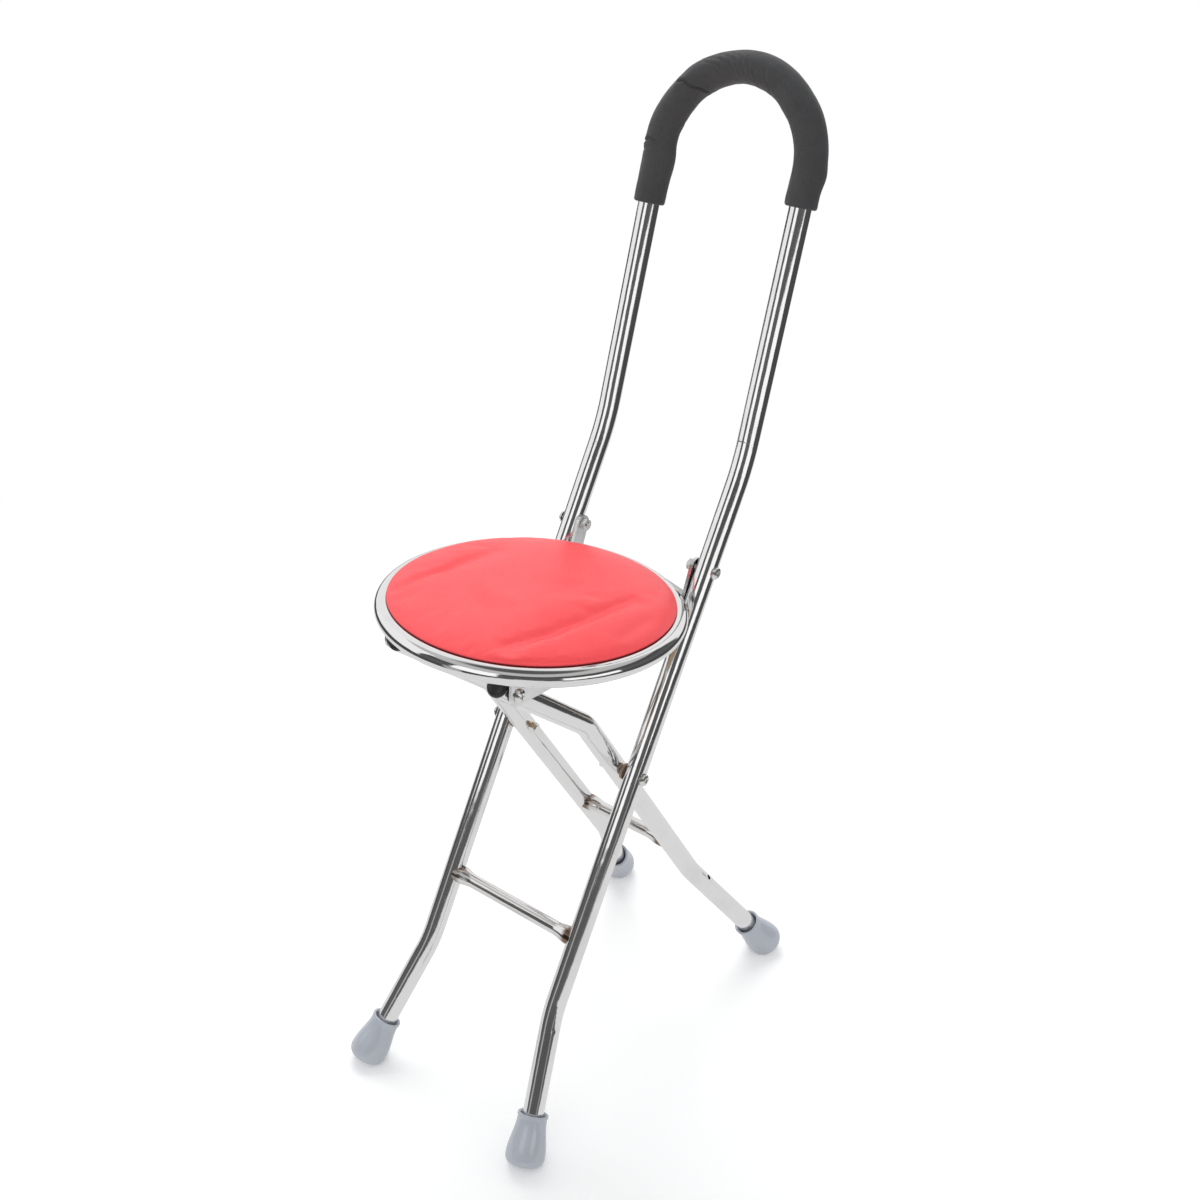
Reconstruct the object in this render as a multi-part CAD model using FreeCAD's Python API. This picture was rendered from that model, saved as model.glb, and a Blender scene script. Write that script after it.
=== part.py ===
import FreeCAD, Part
import math
import os

# Walking stick seat: a bent steel stick with a second, nested pair of legs and a round seat.
# Millimetres. +Z up, the front legs reach toward -Y, the handle leans toward +Y, X is sideways.
# Side-view points are (y, z) and lie on the centre line of a tube.

V = FreeCAD.Vector
SIDES = (-1, 1)

# Tubes.
TUBE_D = 19.0
TUBE_WALL = 1.0
BAR_D = 12.7            # crossbars
BAR_WALL = 1.0
RING_TUBE_D = 16.0
RING_WALL = 1.0

# Main frame: front legs, sides and handle in one tube.
MAIN_HALF = 75.5        # centre line to middle plane, above the lower bend
MAIN_LOW = (-130.0, 118.7)      # lower bend, where the legs start to flare
MAIN_KNEE = (107.7, 574.8)      # bend between the legs and the handle
MAIN_TOP = (168.6, 813.1)       # where the handle's half circle starts
MAIN_FOOT_Y = -188.7            # the foot's ball
MAIN_FLARE = 22.5               # the foot stands this far outside the side tube
KNEE_RADIUS = 180.0
LOW_BEND_RADIUS = 60.0

# Rear legs: two tubes nested inside the main frame.
NEST_GAP = 2.7          # between the rear tubes and the main tube
REAR_LOW = (109.0, 127.8)
REAR_KINK = (-71.5, 385.9)
REAR_FOOT_Y = 190.4
REAR_FLARE = 42.7
KINK_RADIUS = 55.0
REAR_BEND_RADIUS = 50.0
PAST_PIVOT = 9.5        # the rear tube runs this far past the seat pivot
PLUG_SHANK = 4.5
PLUG_FLANGE = 0.8
PLUG_DOME = 3.8
BAR_ABOVE_BEND = 70.0   # both crossbars sit this far above the lower bends
BAR_FLARE_D = 16.6      # the crossbar ends are pressed wider where they are welded
BAR_FLARE_LONG = 13.0

# Feet.
FOOT_BALL_Z = 15.2      # the foot's middle, above the floor
FOOT_TOE_R = 18.0       # the widest place
FOOT_TOE_DOWN = 7.0     # and how far it is below the foot's middle
FOOT_SOLE_DOWN = 16.0   # the sole, before the floor cuts it flat
FOOT_SOLE_DOME = 1.0
FOOT_CORNER = 6.5       # rounding between the side and the sole
FOOT_WAIST_R = 13.3     # just under the rim
FOOT_RIM_R = 13.9
FOOT_RIM_LONG = 3.0
FOOT_RIM_EDGE = 0.5
FOOT_COLLAR_UP = 31.0   # from the foot's middle to the rim
FOOT_TUBE_UP = 3.0      # the leg ends this far above the ball's centre
FOOT_BORE_GAP = 0.05

# Handle grip. In the photo it sits off centre, lower on the left side.
GRIP_D = 27.5
GRIP_DOWN_LEFT = 49.0   # below the start of the half circle
GRIP_DOWN_RIGHT = 26.5
GRIP_BORE_GAP = 0.05
GRIP_EDGE = 2.2

# Seat.
SEAT_Y, SEAT_Z = -80.4, 483.2   # centre of the ring
SEAT_PITCH = -2.6               # degrees, the rear edge is a little lower
RING_R = 122.5                  # centre line of the ring tube
PIVOT_IN = 29.2                 # seat pivot, inward from the ring's centre line
PIVOT_DROP = 20.25              # seat pivot, below the ring's centre plane
BOARD_GAP = 0.2
BOARD_LOW = -1.0                # heights above the ring's centre plane
BOARD_THICK = 8.0
CUSHION_INSET = 2.0             # the rim lies over the inner half of the ring tube
CUSHION_TUCK = [(4.5, 7.0), (2.1, 7.4), (0.6, 8.3)]    # underside's edge: inside the rim, height
CUSHION_WIDE_H = 9.8
CUSHION_TOP_H = 23.0
CROWN_POWER = 3.4

# Rails under the seat.
RAIL_T = 2.5
EAR_R = 9.0
RAIL_FLANGE = 12.0
RAIL_SHORT = 18.5               # the rear end stops this far inside the ring's centre line
FLANGE_SHORT = 44.5             # and the flange this far, at both ends

# Rear hooks and the links that they rest on.
LINK_T = 3.0
LINK_GAP = 0.4                  # between the link and the main tube
LINK_W = 16.0
LINK_UP = 192.0                 # link bolt, along the main tube above the crossing pivot
LINK_LONG = 32.7                # from its bolt to its stud
LINK_LEAN = 19.65               # degrees forward from plumb, with the seat open
STUD_D = 6.0
STUD_HEAD_D = 9.6
STUD_HEAD_T = 2.2
HOOK_T = 4.0
HOOK_CLEAR = 1.0                # between the hook and the end of the link's bolt
HOOK_R = 9.0
HOOK_GAP = 0.3                  # clearance of the stud in the hook
HOOK_SLOT_LEAN = 21.0           # degrees, the slot leans forward, the way the stud leaves

# Bolts.
BOLT_D = 6.0
BORE_D = 6.1                    # running fit
HEAD_D = 11.4
HEAD_T = 3.2
NUT_AF = 10.0
NUT_T = 5.0
BOLT_PAST_NUT = 1.4
SIDE_GAP = 0.2                  # between faces that turn against each other
WASHER_D = 15.0
WASHER_T = 2.8
SCREW_D = 4.0
SCREW_LONG = 6.0                # in the board
SCREW_AT = 60.0                 # from the seat's middle, to the front and to the rear


def vec(x, yz):
    return V(x, yz[0], yz[1])


def unit2(a, b):
    dy, dz = b[0] - a[0], b[1] - a[1]
    n = math.hypot(dy, dz)
    return dy / n, dz / n


def along2(a, direction, dist):
    return a[0] + direction[0] * dist, a[1] + direction[1] * dist


def crossing(a, da, b, db):
    det = da[0] * -db[1] + db[0] * da[1]
    ry, rz = b[0] - a[0], b[1] - a[1]
    t = (ry * -db[1] + db[0] * rz) / det
    return along2(a, da, t)


def rounded_path(points, radii):
    """Edges of a path through points, with an arc of the given radius at each inner corner."""
    edges = []
    start = points[0]
    for i in range(1, len(points) - 1):
        p, q, r = points[i - 1], points[i], points[i + 1]
        u = (q - p).normalize()
        w = (r - q).normalize()
        turn = math.acos(max(-1.0, min(1.0, u.dot(w))))
        cut = radii[i - 1] * math.tan(turn / 2)
        a = q - u * cut
        b = q + w * cut
        to_middle = (w - u).normalize()
        centre = q + to_middle * (radii[i - 1] / math.cos(turn / 2))
        mid = centre - to_middle * radii[i - 1]
        edges.append(Part.makeLine(start, a))
        edges.append(Part.Arc(a, mid, b).toShape())
        start = b
    edges.append(Part.makeLine(start, points[-1]))
    return edges


def sweep(edges, radius):
    wire = Part.Wire(edges)
    p = edges[0].valueAt(edges[0].FirstParameter)
    d = edges[0].tangentAt(edges[0].FirstParameter)
    ring = Part.Wire([Part.makeCircle(radius, p, d)])
    return wire.makePipeShell([ring], True, False)


def tube(edges, outer_d, wall):
    solid = sweep(edges, outer_d / 2).cut(sweep(edges, outer_d / 2 - wall))
    return solid.Solids[0]


def rod_x(x0, x1, radius, yz):
    lo, hi = min(x0, x1), max(x0, x1)
    return Part.makeCylinder(radius, hi - lo, vec(lo, yz), V(1, 0, 0))


def mirrored(shape, side):
    if side > 0:
        return shape
    return shape.mirror(V(0, 0, 0), V(1, 0, 0))


def revolve_about(profile, origin, axis):
    """Turn a closed (radius, height) profile about an axis that starts at origin."""
    pts = [V(r, 0, h) for r, h in profile]
    face = Part.Face(Part.makePolygon(pts + [pts[0]]))
    return place_on_axis(face.revolve(V(0, 0, 0), V(0, 0, 1), 360), origin, axis)


def place_on_axis(shape, origin, axis):
    shape.Placement = FreeCAD.Placement(origin, FreeCAD.Rotation(V(0, 0, 1), axis))
    return shape


def write(name, shapes):
    items = shapes if isinstance(shapes, list) else [shapes]
    solids = []
    for item in items:
        solids.extend(item.Solids)
    out = solids[0] if len(solids) == 1 else Part.makeCompound(solids)
    out.exportStep("parts/" + name + ".step")
    box = out.optimalBoundingBox(True, False)
    extents.append((box.YMin, box.YMax, box.ZMin, box.ZMax, box.XMin, box.XMax))
    print(name, len(solids), "solid(s)", round(out.Volume / 1000.0, 2), "cm3", out.isValid())


# Geometry that everything shares.
main_dir = unit2(MAIN_LOW, MAIN_KNEE)
rear_dir = unit2(REAR_LOW, REAR_KINK)
handle_dir = unit2(MAIN_KNEE, MAIN_TOP)
CROSS = crossing(MAIN_LOW, main_dir, REAR_LOW, rear_dir)
LINK = along2(CROSS, main_dir, LINK_UP)
lean = math.radians(LINK_LEAN)
STUD = along2(LINK, (-math.sin(lean), -math.cos(lean)), LINK_LONG)
REAR_HALF = MAIN_HALF - TUBE_D - NEST_GAP
main_inner = MAIN_HALF - TUBE_D / 2
rear_outer = REAR_HALF + TUBE_D / 2
rear_inner = REAR_HALF - TUBE_D / 2
MAIN_FOOT = (MAIN_FOOT_Y, MAIN_HALF + MAIN_FLARE)
REAR_FOOT = (REAR_FOOT_Y, REAR_HALF + REAR_FLARE)
RAIL_X = rear_outer + WASHER_T + SIDE_GAP
LINK_X = main_inner - LINK_GAP - LINK_T
link_nut_x = LINK_X - SIDE_GAP
link_bolt_tip = link_nut_x - NUT_T - BOLT_PAST_NUT
HOOK_X = link_bolt_tip - HOOK_CLEAR - HOOK_T
RAIL_END = RING_R - RAIL_SHORT
FLANGE_HALF = RING_R - FLANGE_SHORT
CUSHION_WIDE_R = RING_R - CUSHION_INSET
pitch = math.radians(SEAT_PITCH)


def seat_point(x, s, h):
    """A point in the seat's own frame: s toward the rear, h up from the ring's centre plane."""
    return V(x, SEAT_Y + s * math.cos(pitch) - h * math.sin(pitch),
             SEAT_Z + s * math.sin(pitch) + h * math.cos(pitch))


pivot_point = seat_point(0, PIVOT_IN - RING_R, -PIVOT_DROP)
PIVOT = (pivot_point.y, pivot_point.z)


def seat_coords(yz):
    dy, dz = yz[0] - SEAT_Y, yz[1] - SEAT_Z
    return dy * math.cos(pitch) + dz * math.sin(pitch), -dy * math.sin(pitch) + dz * math.cos(pitch)


def seat_plate(outline, x0, thick):
    face = Part.Face(Part.makePolygon([seat_point(x0, s, h) for s, h in outline + outline[:1]]))
    return face.extrude(V(thick, 0, 0))


def seat_axis():
    return (seat_point(0, 0, 1) - seat_point(0, 0, 0)).normalize()


def bent_leg(side, foot, low, half, rest, radii):
    """Leg path from inside the foot up through the lower bend and the points in rest."""
    foot_point = V(side * foot[1], foot[0], FOOT_BALL_Z)
    low_point = vec(side * half, low)
    out = (low_point - foot_point).normalize()
    start = foot_point + out * FOOT_TUBE_UP
    return rounded_path([start, low_point] + [vec(side * half, p) for p in rest], radii)


def reversed_edges(edges):
    done = []
    for edge in reversed(edges):
        copy = edge.copy()
        copy.reverse()
        done.append(copy)
    return done


def main_path():
    left = bent_leg(-1, MAIN_FOOT, MAIN_LOW, MAIN_HALF, [MAIN_KNEE, MAIN_TOP],
                    [LOW_BEND_RADIUS, KNEE_RADIUS])
    right = bent_leg(1, MAIN_FOOT, MAIN_LOW, MAIN_HALF, [MAIN_KNEE, MAIN_TOP],
                     [LOW_BEND_RADIUS, KNEE_RADIUS])
    apex = vec(0, along2(MAIN_TOP, handle_dir, MAIN_HALF))
    arc = Part.Arc(vec(-MAIN_HALF, MAIN_TOP), apex, vec(MAIN_HALF, MAIN_TOP)).toShape()
    return left + [arc] + reversed_edges(right)


def rear_path(side):
    end_dir = unit2(REAR_KINK, PIVOT)
    end = along2(PIVOT, end_dir, PAST_PIVOT)
    return bent_leg(side, REAR_FOOT, REAR_LOW, REAR_HALF, [REAR_KINK, end],
                    [REAR_BEND_RADIUS, KINK_RADIUS])


def crossbar(half, centre, leg_solid):
    """A small tube across a pair of legs, pressed wider at both ends, fitted to the legs."""
    reach = half
    flare = half - TUBE_D / 2 - BAR_FLARE_LONG
    r0, r1 = BAR_D / 2, BAR_FLARE_D / 2
    outer = [(0, -reach), (r1, -reach), (r1, -flare - BAR_FLARE_LONG), (r0, -flare),
             (r0, flare), (r1, flare + BAR_FLARE_LONG), (r1, reach), (0, reach)]
    body = revolve_about(outer, vec(0, centre), V(1, 0, 0))
    b0, b1 = r0 - BAR_WALL, r1 - BAR_WALL
    inner = [(0, -reach), (b1, -reach), (b1, -flare - BAR_FLARE_LONG), (b0, -flare),
             (b0, flare), (b1, flare + BAR_FLARE_LONG), (b1, reach), (0, reach)]
    bar = body.cut(revolve_about(inner, vec(0, centre), V(1, 0, 0)))
    for leg in leg_solid:
        bar = bar.cut(leg)
    middle = [s for s in bar.Solids if s.BoundBox.XMin < 0 < s.BoundBox.XMax]
    return middle[0]


def foot(side, place, low, half):
    """Rubber tip: rounded toe, side that draws in to a waist, thin rim, blind bore for the leg."""
    ball = V(side * place[1], place[0], FOOT_BALL_Z)
    axis = (vec(side * half, low) - ball).normalize()
    sole_r = FOOT_TOE_R - FOOT_CORNER
    corner_h = FOOT_SOLE_DOWN - FOOT_SOLE_DOME - FOOT_TOE_DOWN
    side_h = FOOT_COLLAR_UP - FOOT_RIM_LONG + FOOT_TOE_DOWN
    draw_in = FOOT_TOE_R - FOOT_WAIST_R
    top = FOOT_COLLAR_UP
    profile = [(0.0, -FOOT_SOLE_DOWN), (sole_r / 2, FOOT_SOLE_DOME / 4 - FOOT_SOLE_DOWN)]
    steps = 6
    for i in range(steps + 1):
        a = math.pi / 2 * (1 - i / steps)
        profile.append((sole_r + FOOT_CORNER * math.cos(a), -FOOT_TOE_DOWN - corner_h * math.sin(a)))
    steps = 10
    for i in range(1, steps + 1):
        share = (1 + math.cos(math.pi * i / steps)) / 2
        profile.append((FOOT_WAIST_R + draw_in * share, -FOOT_TOE_DOWN + side_h * i / steps))
    profile += [(FOOT_RIM_R, top - FOOT_RIM_LONG + FOOT_RIM_EDGE), (FOOT_RIM_R, top - FOOT_RIM_EDGE),
                (FOOT_RIM_R - FOOT_RIM_EDGE, top), (0.0, top)]
    tip = revolve_about(profile, ball, axis)
    bore = Part.makeCylinder(TUBE_D / 2 + FOOT_BORE_GAP, 2 * FOOT_COLLAR_UP,
                             ball + axis * FOOT_TUBE_UP, axis)
    wide = 2 * FOOT_TOE_R
    floor = Part.makeBox(2 * wide, 2 * wide, wide, V(ball.x - wide, ball.y - wide, -wide))
    return tip.cut(bore).cut(floor)


def bolt(x_head, x_tip, yz, side):
    """Pan-head bolt lying along X, head outward, with a cross recess."""
    sign = 1 if x_head > x_tip else -1
    shank = rod_x(x_tip, x_head, BOLT_D / 2, yz)
    dome = [(0, 0), (HEAD_D / 2, 0), (HEAD_D / 2, HEAD_T * 0.35), (HEAD_D * 0.43, HEAD_T * 0.75),
            (HEAD_D * 0.28, HEAD_T), (0, HEAD_T)]
    head = revolve_about(dome, vec(x_head, yz), V(sign, 0, 0))
    depth = 1.6
    x_in = x_head + sign * (HEAD_T - depth)
    lo = min(x_in, x_in + sign * 5)
    for w, t in ((5.4, 1.2), (1.2, 5.4)):
        head = head.cut(Part.makeBox(5, w, t, V(lo, yz[0] - w / 2, yz[1] - t / 2)))
    return mirrored(shank.fuse(head).removeSplitter(), side)


def nut(x_face, yz, side):
    """Hexagon nut whose outer face is at x_face and that grows toward the middle plane."""
    r = NUT_AF / math.sqrt(3)
    pts = []
    for i in range(7):
        a = math.radians(60 * i + 30)
        pts.append(V(x_face, yz[0] + r * math.cos(a), yz[1] + r * math.sin(a)))
    body = Part.Face(Part.makePolygon(pts)).extrude(V(-NUT_T, 0, 0))
    round_off = [(0, 0), (r - 0.7, 0), (r, 0.6), (r, NUT_T - 0.6), (r - 0.7, NUT_T), (0, NUT_T)]
    body = body.common(revolve_about(round_off, vec(x_face, yz), V(-1, 0, 0)))
    return mirrored(body.cut(rod_x(x_face - NUT_T - 1, x_face + 1, BOLT_D / 2 + 0.02, yz)), side)


def washer(x0, x1, yz, outer_d, bore_d, side):
    ring = rod_x(x0, x1, outer_d / 2, yz).cut(rod_x(x0 - 1, x1 + 1, bore_d / 2, yz))
    return mirrored(ring, side)


def seat_rail(side):
    """Angle rail: an upright web that ends in the pivot's ear, and a flange that turns outward."""
    ps, ph = seat_coords(PIVOT)
    low = ph - EAR_R
    outline = [(ps, low), (RAIL_END - EAR_R, low)]
    for i in range(1, 7):
        a = math.radians(-90 + i * 15)
        outline.append((RAIL_END - EAR_R + EAR_R * math.cos(a), low + EAR_R + EAR_R * math.sin(a)))
    outline += [(RAIL_END, BOARD_LOW), (ps - EAR_R, BOARD_LOW)]
    for i in range(0, 12):
        a = math.radians(180 + i * 7.5)
        outline.append((ps + EAR_R * math.cos(a), ph + EAR_R * math.sin(a)))
    web = seat_plate(outline, RAIL_X, RAIL_T)
    top = [(-FLANGE_HALF, BOARD_LOW - RAIL_T), (FLANGE_HALF, BOARD_LOW - RAIL_T),
           (FLANGE_HALF, BOARD_LOW), (-FLANGE_HALF, BOARD_LOW)]
    rail = web.fuse(seat_plate(top, RAIL_X, RAIL_FLANGE)).removeSplitter()
    rail = rail.cut(ring_solid)
    rail = rail.cut(rod_x(RAIL_X - 1, RAIL_X + RAIL_T + 1, BORE_D / 2, PIVOT))
    for s in SCREW_S:
        rail = rail.cut(Part.makeCylinder(SCREW_D / 2 + 0.05, 20,
                                          seat_point(SCREW_X, s, BOARD_LOW - RAIL_T - 8), seat_axis()))
    rail = max(rail.Solids, key=lambda item: item.Volume)
    return mirrored(rail, side)


def seat_hook(side):
    """Plate from the back of the ring to a slot that drops over the link's stud."""
    hs, hh = seat_coords(STUD)
    hook_mid = HOOK_X + HOOK_T / 2
    rs = math.sqrt(RING_R ** 2 - hook_mid ** 2)
    dx, dh = hs - rs, hh
    lean = math.atan2(dh, dx)
    near = RING_TUBE_D / 2
    outline = []
    for i in range(0, 13):
        a = lean - math.pi / 2 + math.pi * i / 12
        outline.append((hs + HOOK_R * math.cos(a), hh + HOOK_R * math.sin(a)))
    for i in range(0, 13):
        a = lean + math.pi / 2 + math.pi * i / 12
        outline.append((rs + near * math.cos(a), near * math.sin(a)))
    plate = seat_plate(outline, HOOK_X, HOOK_T)
    slot_r = STUD_D / 2 + HOOK_GAP
    down = math.radians(270 - HOOK_SLOT_LEAN)
    uy, uz = math.cos(down), math.sin(down)
    ny, nz = -uz, uy
    far = 2 * HOOK_R
    corners = [(STUD[0] + ny * slot_r, STUD[1] + nz * slot_r),
               (STUD[0] + ny * slot_r + uy * far, STUD[1] + nz * slot_r + uz * far),
               (STUD[0] - ny * slot_r + uy * far, STUD[1] - nz * slot_r + uz * far),
               (STUD[0] - ny * slot_r, STUD[1] - nz * slot_r)]
    slot = Part.Face(Part.makePolygon([vec(HOOK_X - 1, p) for p in corners + corners[:1]]))
    slot = slot.extrude(V(HOOK_T + 2, 0, 0))
    plate = plate.cut(slot).cut(rod_x(HOOK_X - 1, HOOK_X + HOOK_T + 1, slot_r, STUD))
    plate = plate.cut(ring_solid)
    plate = max(plate.Solids, key=lambda item: item.BoundBox.YMax)
    return mirrored(plate, side)


def link(side):
    """Flat link with round ends, from the bolt in the main tube down to the stud."""
    r = LINK_W / 2
    u = unit2(STUD, LINK)
    n = (-u[1], u[0])
    pts = []
    for i in range(0, 25):
        a = math.pi * i / 24
        c, s = math.cos(a), math.sin(a)
        pts.append((LINK[0] + r * (-n[0] * c + u[0] * s), LINK[1] + r * (-n[1] * c + u[1] * s)))
    for i in range(0, 25):
        a = math.pi * i / 24
        c, s = math.cos(a), math.sin(a)
        pts.append((STUD[0] + r * (n[0] * c - u[0] * s), STUD[1] + r * (n[1] * c - u[1] * s)))
    face = Part.Face(Part.makePolygon([vec(LINK_X, p) for p in pts + pts[:1]]))
    plate = face.extrude(V(LINK_T, 0, 0))
    plate = plate.cut(rod_x(LINK_X - 1, LINK_X + LINK_T + 1, BORE_D / 2, LINK))
    plate = plate.cut(rod_x(LINK_X - 1, LINK_X + LINK_T + 1, STUD_D / 2 + 0.01, STUD))
    return mirrored(plate, side)


def stud(side):
    head_x = HOOK_X - SIDE_GAP - 0.3
    shank = rod_x(head_x, LINK_X + LINK_T, STUD_D / 2, STUD)
    head = rod_x(head_x - STUD_HEAD_T, head_x, STUD_HEAD_D / 2, STUD)
    return mirrored(shank.fuse(head).removeSplitter(), side)


def cushion():
    """Round cushion: flat on the board, rim over the ring's inner half, a low full crown."""
    rise = CUSHION_TOP_H - CUSHION_WIDE_H
    under = [V(CUSHION_WIDE_R - inside, 0, h) for inside, h in CUSHION_TUCK]
    edge = [V(CUSHION_WIDE_R, 0, CUSHION_WIDE_H)]
    for i in range(1, 25):
        a = math.radians(90.0 * i / 24)
        r = CUSHION_WIDE_R * math.cos(a) ** (2.0 / CROWN_POWER)
        if i == 24:
            r = 0.0
        edge.append(V(r, 0, CUSHION_WIDE_H + rise * math.sin(a) ** (2.0 / CROWN_POWER * 1.25)))
    low = Part.makePolygon(under + edge[:1])
    crown = Part.BSplineCurve()
    crown.interpolate(edge)
    centre = V(0, 0, BOARD_LOW + BOARD_THICK)
    wire = Part.Wire([Part.makeLine(centre, under[0])] + low.Edges
                     + [crown.toShape(), Part.makeLine(edge[-1], centre)])
    solid = Part.Face(wire).revolve(V(0, 0, 0), V(0, 0, 1), 360)
    return place_on_axis(solid, seat_point(0, 0, 0), seat_axis())


def grip():
    """Foam sleeve over the handle's half circle and the top of both sides."""
    left = along2(MAIN_TOP, handle_dir, -GRIP_DOWN_LEFT)
    right = along2(MAIN_TOP, handle_dir, -GRIP_DOWN_RIGHT)
    apex = vec(0, along2(MAIN_TOP, handle_dir, MAIN_HALF))
    edges = [Part.makeLine(vec(-MAIN_HALF, left), vec(-MAIN_HALF, MAIN_TOP)),
             Part.Arc(vec(-MAIN_HALF, MAIN_TOP), apex, vec(MAIN_HALF, MAIN_TOP)).toShape(),
             Part.makeLine(vec(MAIN_HALF, MAIN_TOP), vec(MAIN_HALF, right))]
    body = sweep(edges, GRIP_D / 2)
    ends = []
    for edge in body.Edges:
        if edge.Curve.TypeId == "Part::GeomCircle" and abs(edge.Curve.Radius - GRIP_D / 2) < 0.01:
            z = edge.Curve.Center.z
            if min(abs(z - left[1]), abs(z - right[1])) < 0.5 and edge.BoundBox.ZMax < MAIN_TOP[1] - 5:
                ends.append(edge)
    if ends:
        body = body.makeFillet(GRIP_EDGE, ends)
    return body.cut(sweep(edges, TUBE_D / 2 + GRIP_BORE_GAP))


os.makedirs("parts", exist_ok=True)
extents = []

# Frames.
main_edges = main_path()
main_tube = tube(main_edges, TUBE_D, TUBE_WALL)
main_core = sweep(main_edges, TUBE_D / 2 - 0.02)
for yz in (CROSS, LINK):
    for side in SIDES:
        hole = rod_x(side * (main_inner - 3), side * (MAIN_HALF + TUBE_D / 2 + 3), BOLT_D / 2 + 0.02, yz)
        main_tube = main_tube.cut(hole)
write("main_frame_tube", main_tube)
write("handle_grip", grip())
front_bar_at = along2(MAIN_LOW, main_dir, BAR_ABOVE_BEND)
write("front_crossbar", crossbar(MAIN_HALF, front_bar_at, [sweep(main_edges, TUBE_D / 2)]))

rear_rods = []
for side, word in ((-1, "left"), (1, "right")):
    edges = rear_path(side)
    leg = tube(edges, TUBE_D, TUBE_WALL)
    for yz, bore in ((CROSS, BORE_D), (PIVOT, BOLT_D + 0.04)):
        leg = leg.cut(rod_x(side * (rear_inner - 3), side * (rear_outer + 3), bore / 2, yz))
    write("rear_leg_" + word, leg)
    rear_rods.append(sweep(edges, TUBE_D / 2))
rear_bar_at = along2(REAR_LOW, rear_dir, BAR_ABOVE_BEND)
write("rear_crossbar", crossbar(REAR_HALF, rear_bar_at, rear_rods))

for side, word in ((-1, "left"), (1, "right")):
    write("front_foot_" + word, foot(side, MAIN_FOOT, MAIN_LOW, MAIN_HALF))
    write("rear_foot_" + word, foot(side, REAR_FOOT, REAR_LOW, REAR_HALF))

end_dir = unit2(REAR_KINK, PIVOT)
tube_end = along2(PIVOT, end_dir, PAST_PIVOT)
for side, word in ((-1, "left"), (1, "right")):
    r_in = TUBE_D / 2 - TUBE_WALL - 0.02
    dome = [(0, -PLUG_SHANK), (r_in, -PLUG_SHANK), (r_in, 0), (TUBE_D / 2, 0), (TUBE_D / 2, PLUG_FLANGE)]
    for i in range(1, 8):
        a = math.radians(90.0 * i / 8)
        dome.append((TUBE_D / 2 * math.cos(a), PLUG_FLANGE + PLUG_DOME * math.sin(a)))
    dome.append((0, PLUG_FLANGE + PLUG_DOME))
    axis = V(0, end_dir[0], end_dir[1])
    write("rear_leg_plug_" + word, revolve_about(dome, vec(side * REAR_HALF, tube_end), axis))

# Seat.
ring_solid = place_on_axis(Part.makeTorus(RING_R, RING_TUBE_D / 2), seat_point(0, 0, 0), seat_axis())
ring_bore = place_on_axis(Part.makeTorus(RING_R, RING_TUBE_D / 2 - RING_WALL),
                          seat_point(0, 0, 0), seat_axis())
write("seat_ring", ring_solid.cut(ring_bore))
SCREW_X = RAIL_X + (RAIL_T + RAIL_FLANGE) / 2
SCREW_S = (-SCREW_AT, SCREW_AT)
board_r = RING_R - RING_TUBE_D / 2 - BOARD_GAP
board = Part.makeCylinder(board_r, BOARD_THICK, seat_point(0, 0, BOARD_LOW), seat_axis())
screws = []
for side in SIDES:
    for s in SCREW_S:
        under = seat_point(side * SCREW_X, s, BOARD_LOW - RAIL_T)
        shank = Part.makeCylinder(SCREW_D / 2, RAIL_T + SCREW_LONG, under, seat_axis())
        head = Part.makeCylinder(SCREW_D, 2.0, seat_point(side * SCREW_X, s, BOARD_LOW - RAIL_T - 2.0),
                                 seat_axis())
        screw = shank.fuse(head).removeSplitter()
        board = board.cut(Part.makeCylinder(SCREW_D / 2 + 0.02, SCREW_LONG + 0.1,
                                            seat_point(side * SCREW_X, s, BOARD_LOW), seat_axis()))
        screws.append(screw)
write("seat_board", board)
write("seat_cushion", cushion())
write("board_screws", screws)
for side, word in ((-1, "left"), (1, "right")):
    write("seat_rail_" + word, seat_rail(side))
    write("seat_hook_" + word, seat_hook(side))
    write("link_" + word, link(side))
    write("link_stud_" + word, stud(side))

# Bolts, nuts and washers, one pair of each.
outside = MAIN_HALF + TUBE_D / 2
cross_nut_x = rear_inner - SIDE_GAP
rail_bolt_x = RAIL_X + RAIL_T + SIDE_GAP
write("crossing_bolts", [bolt(outside, cross_nut_x - NUT_T - BOLT_PAST_NUT, CROSS, s) for s in SIDES])
write("crossing_nuts", [nut(cross_nut_x, CROSS, s) for s in SIDES])
write("crossing_spacers", [washer(rear_outer + SIDE_GAP, main_inner, CROSS, WASHER_D, BORE_D, s)
                           for s in SIDES])
write("link_bolts", [bolt(outside, link_bolt_tip, LINK, s) for s in SIDES])
write("link_nuts", [nut(link_nut_x, LINK, s) for s in SIDES])
write("pivot_bolts", [bolt(rail_bolt_x, rear_inner - NUT_T - BOLT_PAST_NUT, PIVOT, s) for s in SIDES])
write("pivot_nuts", [nut(rear_inner, PIVOT, s) for s in SIDES])
write("pivot_washers", [washer(rear_outer, RAIL_X - SIDE_GAP, PIVOT, WASHER_D, BORE_D, s)
                        for s in SIDES])

low_y = min(e[0] for e in extents)
high_y = max(e[1] for e in extents)
print("y", round(low_y, 2), round(high_y, 2), "middle", round((low_y + high_y) / 2, 2))
print("z", round(min(e[2] for e in extents), 2), round(max(e[3] for e in extents), 2))
print("x", round(min(e[4] for e in extents), 2), round(max(e[5] for e in extents), 2))
print("crossing", CROSS, "link", LINK, "pivot", PIVOT, "stud", STUD)
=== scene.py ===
"""Dresses the walking stick seat.

Bright bent tubes, a red vinyl seat pad, a black foam hand grip and grey rubber feet.
"""

import math

import bmesh
import bpy
from mathutils import Matrix, Vector, noise


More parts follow.
